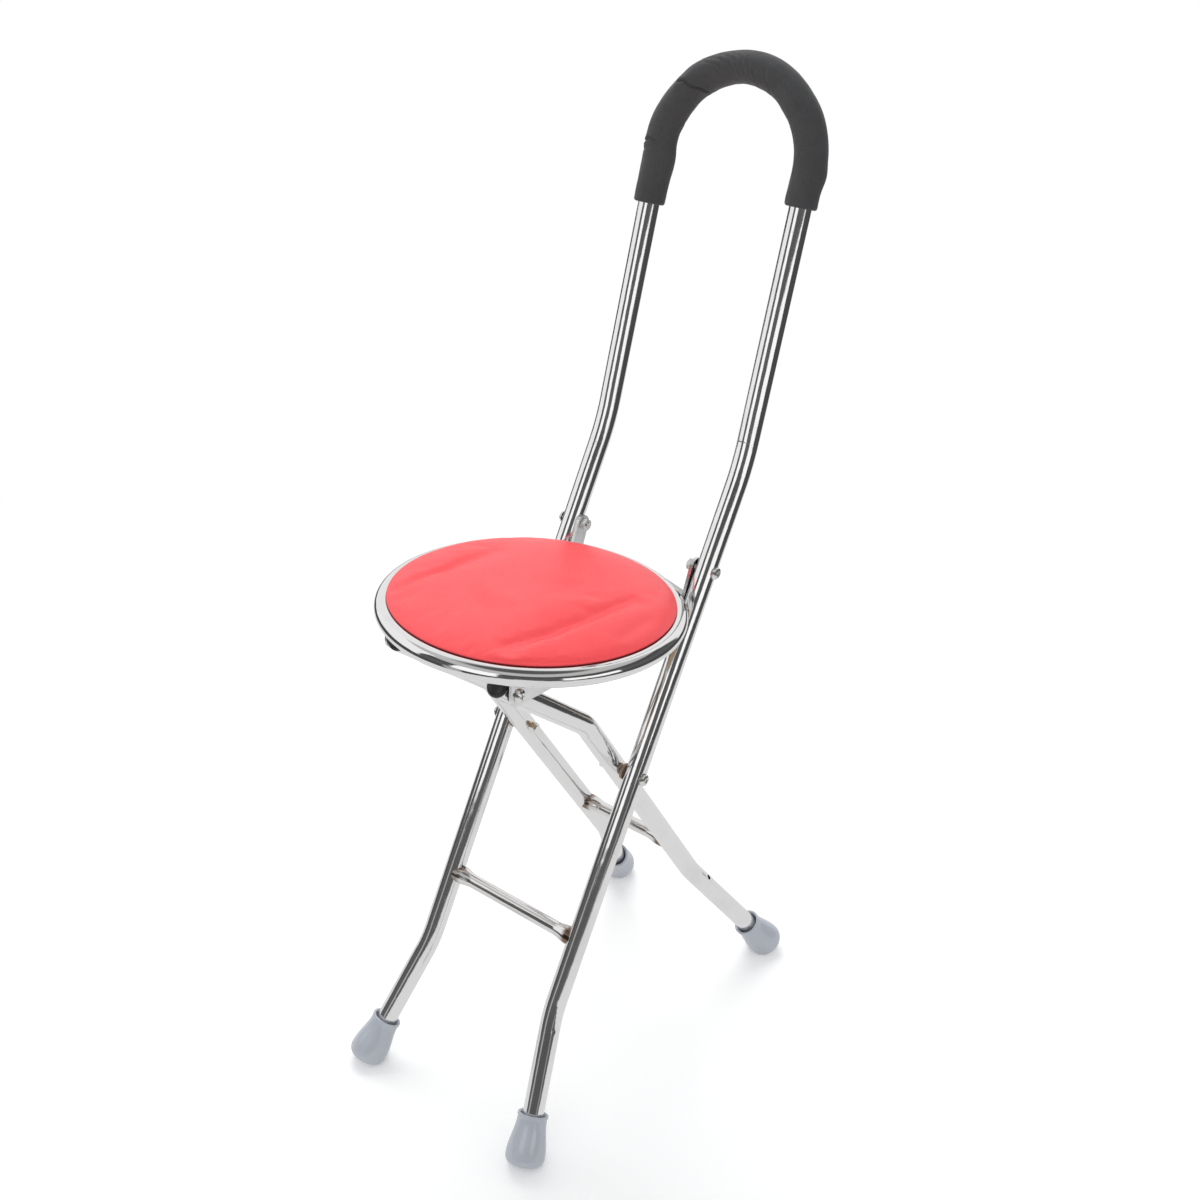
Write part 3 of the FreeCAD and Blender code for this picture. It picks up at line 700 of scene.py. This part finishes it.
def crossbar_piece(name, node, half, centre, body, spacing=1.5, around=40):
    """Small tube across a pair of legs, pressed wider and flatter at its welded ends."""
    reach = half - BAR_ENDS_BEFORE

    def radius(along, out):
        past = abs(along - reach) - (half - BAR_WIDENS_FROM)
        wider = (BAR_END_R - BAR_R) * soft_step(past, 0.0, BAR_WIDENS_LONG)
        flat = BAR_END_FLAT * (out.y * out.y - out.z * out.z)
        return BAR_R + wider + flat * max(0.0, min(1.0, past / BAR_WIDENS_LONG))

    parts = math.ceil(2 * reach / spacing)
    line = [yz(reach * (2 * i / parts - 1), centre) for i in range(parts + 1)]
    rows = frames_along(line, Vector((0, 1, 0)))
    verts, faces, uvs = tube_mesh(rows, radius, around)
    piece = mesh_piece(name, body, "crossbar_steel", verts, faces, uvs)
    skin = half - TUBE_R
    mark_points(piece, "weld_heat", [soft_step(abs(v.x), skin - WELD_HEAT_LONG, skin)
                                     for v in verts])
    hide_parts(node)


def seat_spot(x, s, h):
    """A point in the seat's own frame: s to the rear, h up from the ring's middle."""
    return Vector((x, SEAT_MIDDLE[0] + s * math.cos(SEAT_PITCH) - h * math.sin(SEAT_PITCH),
                   SEAT_MIDDLE[1] + s * math.sin(SEAT_PITCH) + h * math.cos(SEAT_PITCH)))


def seat_ring_piece(steps=240, around=48):
    """Round tube bent to a closed ring."""
    verts, uvs = [], []
    for i, a in enumerate(turns_of(steps)):
        for k, turn in enumerate(turns_of(around)):
            r = RING_R + RING_TUBE_R * math.cos(turn)
            verts.append(seat_spot(r * math.cos(a), r * math.sin(a), RING_TUBE_R * math.sin(turn)))
            uvs += [(2 * math.pi * RING_R * row / steps * MM, share / around)
                    for row, share in ((i + 1, k), (i + 1, k + 1), (i, k + 1), (i, k))]
    faces = [quad[::-1] for quad in quads_between(number_rings(steps, around), closed=True)]
    piece = mesh_piece("seat_ring_tube", "seat", "ring_steel", verts, faces, uvs)
    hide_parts("seat_ring")


tube_piece("main_tube", "main_frame_tube", main_tube_line(), (LOW_BEND_PRESS, KNEE_PRESS) * 2,
           "main_frame")
for side_name, side in SIDES:
    leg = tube_piece("rear_tube_" + side_name, "rear_leg_" + side_name, rear_leg_line(side),
                     (REAR_BEND_PRESS, KINK_PRESS), "rear_frame")
    if side_name == "right":
        drill(leg, Vector(HOLE_SPOT), Vector(HOLE_WAY).normalized(), HOLE_R)
crossbar_piece("front_bar", "front_crossbar", MAIN_HALF, toward(MAIN_LOW, MAIN_KNEE, BAR_UP),
               "main_frame")
crossbar_piece("rear_bar", "rear_crossbar", REAR_HALF, toward(REAR_LOW, REAR_KINK, BAR_UP),
               "rear_frame")
seat_ring_piece()


# Rubber feet

def foot_profile(toe_steps=14, waist_steps=30):
    """Radius and height of the tip's skin, from its sole over the lip to the end of its bore."""
    profile = [(FOOT_SOLE_R / 2, -FOOT_SOLE_DOWN + FOOT_DOME / 4)]
    toe_high = FOOT_SOLE_DOWN - FOOT_TOE_DOWN - FOOT_DOME
    for i in range(toe_steps + 1):
        a = math.pi / 2 * (1 - i / toe_steps)
        profile.append((FOOT_TOE_R - (FOOT_TOE_R - FOOT_SOLE_R) * (1 - math.cos(a)),
                        -FOOT_TOE_DOWN - toe_high * math.sin(a)))
    for i in range(1, waist_steps + 1):
        t = i / waist_steps
        flare = (FOOT_TOE_R - FOOT_WAIST_R) * (1 + math.cos(math.pi * t)) / 2
        profile.append((FOOT_WAIST_R + flare,
                        -FOOT_TOE_DOWN + (FOOT_WAIST_END + FOOT_TOE_DOWN) * t))
    profile += [(FOOT_RIM_R - inside, FOOT_RIM - below) for inside, below in FOOT_LIP]
    return profile + [(FOOT_BORE_R, FOOT_BORE_END)]


def foot_piece(name, node, side, foot, half, low, body, around=72):
    """Bell shaped rubber tip: round toe cut flat by the floor, waist, thin lip, open bore."""
    middle, _, axis = leg_end(side, foot, half, low)
    across = axis.orthogonal().normalized()
    up = axis.cross(across)
    profile = foot_profile()
    verts = [middle - axis * FOOT_SOLE_DOWN]
    for r, h in profile:
        verts += [round_spot(middle + axis * h, across, up, r, turn)
                  for turn in turns_of(around)]
    verts.append(middle + axis * FOOT_BORE_END)
    rings = number_rings(len(profile), around, first=1)
    faces = [(0, b, a) for a, b in zip(rings[0], after_each(rings[0]))]
    faces += [(a, b, len(verts) - 1) for a, b in zip(rings[-1], after_each(rings[-1]))]
    faces += quads_between(rings)
    verts = [Vector((v.x, v.y, max(v.z, 0.0))) for v in verts]
    piece = mesh_piece(name, body, "foot_rubber", verts, faces)
    turn_out(piece)
    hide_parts(node)


for side_name, side in SIDES:
    foot_piece("front_tip_" + side_name, "front_foot_" + side_name, side, MAIN_FOOT, MAIN_HALF,
               MAIN_LOW, "main_frame")
    foot_piece("rear_tip_" + side_name, "rear_foot_" + side_name, side, REAR_FOOT, REAR_HALF,
               REAR_LOW, "rear_frame")


# Foam hand grip over the hoop

GRIP_R = 13.75
GRIP_BORE_R = 9.55
GRIP_FACE_R = 10.55
GRIP_ROUND = 2.2
GRIP_THINNEST = 0.4
# How far it reaches below the hoop on the left and on the right.
GRIP_DOWN = (49.0, 26.5)
GRIP_LONG = GRIP_DOWN[0] + math.pi * MAIN_HALF + GRIP_DOWN[1]
GRIP_CALM_END = 6.0
DEGREE_OF_SKIN = GRIP_R * math.pi / 180.0
# Each fold: start and end as (along the grip in mm, turn in degrees), depth and width in mm.
# Turn 0 faces out of the hoop, 90 the front, 180 the inside.
GRIP_FOLDS = [
    ((101.0, 40.0), (123.5, 172.0), 2.7, 1.1),
    ((118.0, 175.0), (128.0, 250.0), 1.4, 1.2),
    ((50.0, 10.0), (54.0, 108.0), 2.3, 0.9),
    ((44.0, 20.0), (46.0, 95.0), 0.5, 1.2),
    ((74.0, 100.0), (86.0, 165.0), 0.5, 1.6),
    ((186.0, 60.0), (205.0, 150.0), 0.6, 1.4),
    ((222.0, 92.0), (238.0, 62.0), 0.9, 1.0),
    ((226.0, 100.0), (243.0, 70.0), 0.7, 0.9),
    ((230.0, 108.0), (246.0, 80.0), 0.5, 0.9),
    ((228.0, 178.0), (244.0, 148.0), 0.9, 1.2),
    ((262.0, 60.0), (276.0, 120.0), 0.5, 1.3),
    ((284.0, 80.0), (292.0, 20.0), 0.6, 1.6),
    ((70.0, -170.0), (90.0, -90.0), 0.8, 1.4),
    ((150.0, -160.0), (172.0, -60.0), 0.9, 1.5),
    ((205.0, -170.0), (228.0, -80.0), 0.8, 1.4),
]
# Fine wrinkles lie side by side where the foam was pushed together round the hoop.
GRIP_FOLDS += [((124.0 + 4.4 * i, 24.0 + 3.0 * i), (144.0 + 4.4 * i, 108.0 + 4.0 * i), 0.75, 0.8)
               for i in range(11)]
FOLD_WANDER = 0.8
# The raised lips of a fold: height as a share of its depth, and spread as a share of its width.
FOLD_LIP = (0.42, 4.2)
# Soft swellings: along, turn, height and the reach each way.
GRIP_SWELLS = [
    (286.0, -20.0, 1.9, 9.0, 60.0),
    (268.0, -15.0, 0.9, 14.0, 60.0),
    (38.0, -165.0, 2.1, 14.0, 60.0),
    (118.0, 10.0, 1.0, 12.0, 70.0),
    (93.0, 150.0, 0.8, 14.0, 60.0),
    (222.0, 175.0, 0.9, 11.0, 60.0),
    (190.0, -10.0, 0.5, 16.0, 80.0),
    (246.0, -10.0, 0.6, 14.0, 70.0),
    (66.0, 0.0, 0.5, 15.0, 80.0),
]
# Heights of the broad and the small unevenness of the foam.
FOAM_UNEVEN = (0.7, 0.22)


def turn_between(a, b):
    return (a - b + 180.0) % 360.0 - 180.0


def fold_height(s, turn, start, end, depth, width):
    """The groove of one fold with its raised lips, at s mm along and turn degrees."""
    du, dv = end[0] - start[0], (end[1] - start[1]) * DEGREE_OF_SKIN
    u, v = s - start[0], turn_between(turn, start[1]) * DEGREE_OF_SKIN
    if end[1] - start[1] > 100 and v < -20:
        v += 360 * DEGREE_OF_SKIN
    run = math.hypot(du, dv)
    along = (u * du + v * dv) / run
    if not -2 * width < along < run + 2 * width:
        return 0.0
    off = (u * dv - v * du) / run + FOLD_WANDER * math.sin(along * 0.35 + start[0])
    fade = min(soft_step(along, -width, 4 * width), soft_step(run - along, -width, 4 * width))
    lip = FOLD_LIP[0] * math.exp(-(off / (FOLD_LIP[1] * width)) ** 2)
    return fade * depth * (lip - math.exp(-(off / width) ** 2))


def grip_height(s, turn):
    """How far the foam's skin stands from its plain round, at s mm along and turn degrees."""
    rise = sum(fold_height(s, turn, *fold) for fold in GRIP_FOLDS)
    for at, facing, height, reach, spread in GRIP_SWELLS:
        u = (s - at) / reach
        v = turn_between(turn, facing) / spread
        rise += height * math.exp(-u * u - v * v)
    facing = math.radians(turn)
    spot = Vector((s * 0.028, math.cos(facing) * 0.8, math.sin(facing) * 0.8))
    return rise + FOAM_UNEVEN[0] * noise.noise(spot) + FOAM_UNEVEN[1] * noise.noise(spot * 3.7)


def grip_centre(s):
    """The middle of the grip at s mm along it, and the way out of the hoop there."""
    round_hoop = max(0.0, min(math.pi, (s - GRIP_DOWN[0]) / MAIN_HALF))
    out = hoop_out(round_hoop)
    below = abs(s - GRIP_DOWN[0] - round_hoop * MAIN_HALF)
    return yz(0, MAIN_TOP) + out * MAIN_HALF - HOOP_UP * below, out


def foam_grip(around=108, end_steps=8, spacing=1.05, bore_steps=60):
    """Foam tube over the hoop: flat faces, rounded edges, an uneven skin and a plain bore."""
    front = Vector((0, -HOOP_UP.z, HOOP_UP.y))
    end = [(0.0, GRIP_BORE_R), (0.0, GRIP_FACE_R)]
    for i in range(end_steps, -1, -1):
        a = math.pi / 2 * i / end_steps
        end.append((GRIP_ROUND * (1 - math.sin(a)), GRIP_R - GRIP_ROUND * (1 - math.cos(a))))
    plain_long = GRIP_LONG - 2 * GRIP_ROUND
    count = int(plain_long / spacing)
    stations = end + [(GRIP_ROUND + plain_long * i / count, GRIP_R) for i in range(1, count)]
    stations += [(GRIP_LONG - s, r) for s, r in end[::-1]]
    stations += [(GRIP_LONG * i / bore_steps, GRIP_BORE_R) for i in range(bore_steps - 1, 0, -1)]
    verts = []
    for s, plain_r in stations:
        middle, out = grip_centre(s)
        ease = min(1.0, s / GRIP_CALM_END, (GRIP_LONG - s) / GRIP_CALM_END)
        for k in range(around):
            turn, r = 360.0 * k / around, plain_r
            if plain_r > GRIP_BORE_R:
                r = max(r + grip_height(s, turn) * ease, GRIP_BORE_R + GRIP_THINNEST)
            verts.append(round_spot(middle, out, front, r, math.radians(turn)))
    faces = quads_between(number_rings(len(stations), around), closed=True)
    piece = mesh_piece("foam_grip", "main_frame", "grip_foam", verts, faces)
    turn_out(piece)
    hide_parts("handle_grip")


foam_grip()


# Vinyl seat pad

PAD_WIDE_R = 120.5
PAD_COVER_R = 118.9
PAD_WIDE_H = 9.4
PAD_TOP_H = 19.4
PAD_CROWN = 5.5
PAD_SWELL = 4.0
PAD_UNEVEN = 0.45
# Painted shade darkens the vinyl below this height, on the rim where it turns under.
PAD_PAINTED_SHADE_H = 9.3
# The rim from the cover's edge to the middle of the underside: distance in, and height.
PAD_RIM = [(1.0, 9.75), (0.5, 9.5), (0.12, 9.1), (0.0, 8.7), (0.05, 8.2), (0.4, 7.8), (1.1, 7.5),
           (2.1, 7.3), (4.5, 7.0), (12.0, 7.0), (40.0, 7.0)]
# Each crease: points as (x, toward the rear), depth and width in mm.
PAD_CREASES = [
    ([(-83.0, -78.0), (-81.3, -48.6), (-76.2, -29.9), (-74.5, 5.2), (-70.6, 31.0)], 5.0, 5.0),
    ([(50.0, -90.0), (56.5, -72.0), (62.0, -52.0), (67.3, -8.3), (69.6, 27.9), (72.0, 40.0)],
     5.4, 5.6),
    ([(-30.0, 92.0), (-5.0, 66.0), (20.9, 42.3), (30.0, 15.0)], 0.9, 12.0),
    ([(105.3, -17.1), (104.0, 5.0), (101.3, 27.3)], 0.6, 6.0),
]
# The ridge beside a crease: height as a share of its depth, offset and spread in its widths.
CREASE_RIDGE = (0.3, 2.1, 1.5)
# The cover is held near its rim, and along the deep creases within part of their width.
HELD_RIM = 3.0
HELD_CREASE = 0.9
HELD_DEPTH = 2.2
HELD_WIDTH = 0.5
COVER_FRAMES = 20


def off_line(x, s, points):
    """Distance from the line through points, the same with its sign, and the share along it."""
    best = (math.inf, 0.0, 0.0)
    whole = sum(math.dist(a, b) for a, b in zip(points, points[1:]))
    gone = 0.0
    for a, b in zip(points, points[1:]):
        ux, us = b[0] - a[0], b[1] - a[1]
        run = math.hypot(ux, us)
        t = max(0.0, min(1.0, ((x - a[0]) * ux + (s - a[1]) * us) / run ** 2))
        px, ps = x - a[0] - ux * t, s - a[1] - us * t
        far = math.hypot(px, ps)
        if far < best[0]:
            best = (far, math.copysign(far, ux * ps - us * px), (gone + run * t) / whole)
        gone += run
    return best


def pad_height(x, s):
    """Height of the crowned cover over the ring's middle, with its creases."""
    r = min(1.0, math.hypot(x, s) / PAD_WIDE_R)
    h = PAD_WIDE_H + (PAD_TOP_H - PAD_WIDE_H) * (1 - r ** PAD_CROWN)
    edge = min(1.0, (1 - r) / 0.06)
    tall, aside, wide = CREASE_RIDGE
    for points, depth, width in PAD_CREASES:
        far, signed, share = off_line(x, s, points)
        fade = edge * math.sin(math.pi * (0.08 + 0.84 * share)) ** 0.7
        ridge = tall * math.exp(-((signed + aside * width) / (wide * width)) ** 2)
        h += fade * depth * (ridge - math.exp(-(far / width) ** 2))
    return h + PAD_UNEVEN * noise.noise(Vector((x * 0.02, s * 0.02, 3.0))) * (1 - r ** 4)


def vinyl_pad(cells=60):
    """Closed pad: crowned cover, rounded rim, tucked edge and flat underside, on even quads."""
    verts = []
    for i in range(cells + 1):
        for j in range(cells + 1):
            u, v = 2.0 * i / cells - 1, 2.0 * j / cells - 1
            x = u * math.sqrt(1 - v * v / 2) * PAD_COVER_R
            s = v * math.sqrt(1 - u * u / 2) * PAD_COVER_R
            verts.append((x, s, pad_height(x, s)))
    grid = number_rings(cells + 1, cells + 1)
    faces = [(low[j], high[j], high[j + 1], low[j + 1])
             for low, high in zip(grid, grid[1:]) for j in range(cells)]
    border = [row[0] for row in grid[:-1]] + grid[-1][:-1]
    border += [row[-1] for row in grid[:0:-1]] + grid[0][:0:-1]
    for inset, h in PAD_RIM:
        for x, s, _ in [verts[n] for n in border]:
            share = (PAD_WIDE_R - inset) / math.hypot(x, s)
            verts.append((x * share, s * share, h))
    rings = [border] + number_rings(len(PAD_RIM), len(border), first=(cells + 1) ** 2)
    faces += quads_between(rings) + [tuple(rings[-1])]
    pad = mesh_piece("vinyl_pad", "seat", "cushion_vinyl", [seat_spot(*v) for v in verts], faces)
    # Painted shade: vertices from this height down are marked to be coloured dark.
    mark_points(pad, "tuck_painted_shade", [soft_step(PAD_PAINTED_SHADE_H - h, 0.0, 1.0) for _, _, h in verts])
    turn_out(pad)
    return pad


def settle_cover(pad):
    """Lets the vinyl swell over its foam, held at the rim, underneath and along the creases."""
    held = pad.vertex_groups.new(name="held")
    level = Matrix.Rotation(-SEAT_PITCH, 3, "X")
    for n, vertex in enumerate(pad.data.vertices):
        x, s, h = level @ (vertex.co / MM - yz(0, SEAT_MIDDLE))
        grip = 1.0 if h < PAD_WIDE_H or math.hypot(x, s) > PAD_WIDE_R - HELD_RIM else 0.0
        if not grip:
            for points, depth, width in PAD_CREASES:
                near = off_line(x, s, points)[0] / width
                hold = HELD_CREASE * min(1.0, depth / HELD_DEPTH)
                grip = max(grip, hold * math.exp(-(near / HELD_WIDTH) ** 2))
        held.add([n], grip, "REPLACE")
    before = [vertex.co.copy() for vertex in pad.data.vertices]
    cover = pad.modifiers.new("cover", "CLOTH")
    fit = cover.settings
    fit.quality = 5
    fit.mass = 0.02
    fit.tension_stiffness = fit.compression_stiffness = 8.0
    fit.shear_stiffness = 4.0
    fit.bending_stiffness = 2.0
    fit.shrink_min = -0.004
    fit.use_pressure = True
    fit.uniform_pressure_force = 4.0
    fit.vertex_group_mass = "held"
    fit.effector_weights.gravity = 0.0
    cover.point_cache.frame_start = 1
    cover.point_cache.frame_end = COVER_FRAMES
    for number in range(1, COVER_FRAMES + 1):
        bpy.context.scene.frame_set(number)
    swollen = pad.evaluated_get(bpy.context.evaluated_depsgraph_get()).to_mesh()
    moves = [after.co - spot for after, spot in zip(swollen.vertices, before)]
    pad.modifiers.remove(cover)
    bpy.context.scene.frame_set(1)
    for vertex, spot, move in zip(pad.data.vertices, before, moves):
        vertex.co = spot + move * min(1.0, PAD_SWELL * MM / max(move.length, 1e-9))
    pad.data.update()


def smooth_once(piece):
    """One subdivision, kept in the mesh."""
    finer = piece.modifiers.new("finer", "SUBSURF")
    finer.levels = finer.render_levels = 1
    keep_modifier(piece, finer)


pad = vinyl_pad()
settle_cover(pad)
smooth_once(pad)
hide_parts("seat_cushion")


# Finishes of the pieces that keep their CAD shape

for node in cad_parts.values():
    for slot in node.material_slots:
        plain = slot.material.name.split(".")[0] if slot.material else ""
        if plain in FINISHES:
            slot.material = FINISHES[plain]


# Floor, light and camera. Lengths are in metres.

WHITE = (1, 1, 1, 1)
FLOOR_HALF = 14.0
FLOOR_DOWN = 0.0004
FLOOR_GREY = (0.86, 0.86, 0.86, 1)
FLOOR_LIFT = 0.22
FLOOR_FADE = (0.45, 1.5)
# What shiny pieces see: a white strip of paper on the floor, and the room round it.
STRIP_TURN = math.radians(37.6)
STRIP_ACROSS = (math.cos(STRIP_TURN), math.sin(STRIP_TURN), 0.0)
STRIP_HALF = 0.95
STRIP_EDGE = 0.18
STRIP_LEVEL = 0.77
ROOM_DARK = 0.07
ROOM_LIGHT = 0.68
ROOM_TINT = (0.97, 0.985, 1.0, 1)
# Turns round the room are measured from the camera's side, in degrees.
CAMERA_SIDE = 52.4
WALL_TURN = (124, 129)
# The walls' grey by how far up one looks, from -1 straight down to 1 straight up.
FRONT_WALL = [(-1, 0.11), (0.1, 0.11), (0.45, 0.08), (0.56, 0.05), (0.64, 0.5), (0.88, 0.55),
              (0.95, 0.1), (1.0, 0.1)]
BACK_WALL = [(-1, 0.9), (0.87, 0.9), (0.96, 0.1), (1.0, 0.1)]


def emptied_wiring(block):
    """The wiring of a material or world, without the nodes it starts with."""
    block.use_nodes = True
    block.node_tree.nodes.clear()
    return Wiring(block.node_tree)


def studio_material(piece):
    """A material of the piece's own name, and its wiring."""
    material = bpy.data.materials.new(piece.name)
    piece.data.materials.append(material)
    return emptied_wiring(material)


def glow(w, strength):
    return w.add("ShaderNodeEmission", {"Color": WHITE, "Strength": strength}).outputs[0]


def sky(w, colour, strength):
    return w.add("ShaderNodeBackground", {"Color": colour, "Strength": strength}).outputs[0]


def mixed(w, amount, a, b):
    return w.add("ShaderNodeMixShader", {0: amount, 1: a, 2: b}).outputs[0]


def floor_piece():
    """Pale floor. Shiny pieces see it as a white paper strip with the dark room beyond."""
    corners = [(-1, -1), (1, -1), (1, 1), (-1, 1)]
    floor = placed_mesh("studio_floor", [(x * FLOOR_HALF, y * FLOOR_HALF, 0) for x, y in corners],
                        [(0, 1, 2, 3)])
    floor.location.z = -FLOOR_DOWN
    w = studio_material(floor)
    place = w.add("ShaderNodeTexCoord").outputs["Object"]
    away = w.vector("LENGTH", place)["Value"]
    open_floor = w.span(away, *FLOOR_FADE, 0.0, 1.0, kind="SMOOTHSTEP")
    rays = w.add("ShaderNodeLightPath").outputs
    paper = w.add("ShaderNodeBsdfDiffuse", {"Color": FLOOR_GREY}).outputs[0]
    lift = glow(w, w.maths("MULTIPLY", rays["Is Camera Ray"], FLOOR_LIFT))
    lit = w.add("ShaderNodeAddShader", {0: paper, 1: lift}).outputs[0]
    blank = w.maths("MULTIPLY", rays["Is Camera Ray"], open_floor)
    seen = mixed(w, blank, lit, glow(w, 1.0))
    aside = w.maths("ABSOLUTE", w.vector("DOT_PRODUCT", place, STRIP_ACROSS)["Value"])
    strip = w.span(aside, STRIP_HALF, STRIP_HALF + STRIP_EDGE, STRIP_LEVEL, ROOM_DARK,
                   kind="SMOOTHSTEP")
    w.add("ShaderNodeOutputMaterial", {0: mixed(w, rays["Is Glossy Ray"], seen, glow(w, strip))})


def paper_screen(name, middle, spread, away, low, high, level, steps=24):
    """Upright curved paper that only shiny pieces see."""
    verts, faces = [], []
    for i in range(steps + 1):
        turn = math.radians(middle - CAMERA_SIDE - spread + 2 * spread * i / steps)
        verts += [(away * math.cos(turn), away * math.sin(turn), z) for z in (low, high)]
        if i:
            faces.append((2 * i - 2, 2 * i, 2 * i + 1, 2 * i - 1))
    screen = placed_mesh(name, verts, faces)
    w = studio_material(screen)
    w.add("ShaderNodeOutputMaterial", {0: glow(w, level)})
    for flag in ("camera", "diffuse", "transmission", "volume_scatter", "shadow"):
        setattr(screen, "visible_" + flag, False)


def studio_world():
    """White room for the light. Shiny pieces see dark and pale bands in front, white behind."""
    world = bpy.data.worlds.new("studio")
    bpy.context.scene.world = world
    w = emptied_wiring(world)
    way = w.add("ShaderNodeTexCoord").outputs["Generated"]
    axes = w.add("ShaderNodeSeparateXYZ", {0: way}).outputs
    turn = w.maths("ADD", w.maths("ARCTAN2", axes[1], axes[0]), math.radians(CAMERA_SIDE))
    off = w.maths("ABSOLUTE", w.maths("WRAP", turn, math.pi, -math.pi))
    behind = w.span(off, *map(math.radians, WALL_TURN), 0.0, 1.0, kind="SMOOTHSTEP")
    height = w.maths("MULTIPLY_ADD", axes[2], 0.5, 0.5)
    front, back = (w.ramp(height, [((z + 1) / 2, tone) for z, tone in wall])
                   for wall in (FRONT_WALL, BACK_WALL))
    rays = w.add("ShaderNodeLightPath").outputs
    shiny = sky(w, w.blend_colour(behind, front, back), 1.0)
    unseen = mixed(w, rays["Is Glossy Ray"], sky(w, ROOM_TINT, ROOM_LIGHT), shiny)
    w.add("ShaderNodeOutputWorld", {0: mixed(w, rays["Is Camera Ray"], unseen,
                                             sky(w, WHITE, 1.0))})


def soft_lamp(name, place, aim, size, power):
    data = bpy.data.lights.new(name, "AREA")
    data.shape = "SQUARE"
    data.size = size
    data.energy = power
    lamp = placed(name, data)
    lamp.location = place
    lamp.rotation_euler = (Vector(aim) - Vector(place)).to_track_quat("-Z", "Y").to_euler()
    lamp.visible_glossy = False
    lamp.visible_camera = False


def photo_camera(place=(0.73785, -0.94585, 1.09203), turns=(37.6096, 27.8439, 2.3979)):
    """The photograph's camera, as it was fitted: turned to the right, raised and rolled."""
    az, el, roll = map(math.radians, turns)
    back = Vector((math.sin(az) * math.cos(el), -math.cos(az) * math.cos(el), math.sin(el)))
    right = Vector((math.cos(az), math.sin(az), 0))
    up = right.cross(-back)
    level = Matrix((math.cos(roll) * right + math.sin(roll) * up,
                    -math.sin(roll) * right + math.cos(roll) * up, back)).transposed()
    data = bpy.data.cameras.new("photo_view")
    data.sensor_width = 36.0
    data.lens = 46.46
    data.clip_end = 60.0
    camera = placed("photo_view", data)
    camera.matrix_world = Matrix.Translation(place) @ level.to_4x4()
    bpy.context.scene.camera = camera


floor_piece()
studio_world()
for name, *curve in (("left_screen", -34.0, 15.0, 1.3, 0.55, 1.35, 1.1),
                     ("right_screen", 41.0, 20.0, 1.3, 0.38, 0.80, 1.1),
                     ("side_screen", -100.0, 27.0, 1.4, 0.42, 1.7, 0.95),
                     ("low_left_screen", -48.0, 6.0, 1.35, 0.04, 0.52, 0.42),
                     ("low_right_screen", 24.0, 4.0, 1.35, 0.1, 0.5, 0.3)):
    paper_screen(name, *curve)
soft_lamp("window_lamp", (-1.2, 0.9, 2.4), (0, -0.05, 0.5), size=1.6, power=36.0)
soft_lamp("room_lamp", (0.6, -2.0, 2.2), (0, 0, 0.5), size=2.0, power=9.0)
photo_camera()
bpy.context.scene.view_settings.view_transform = "Standard"
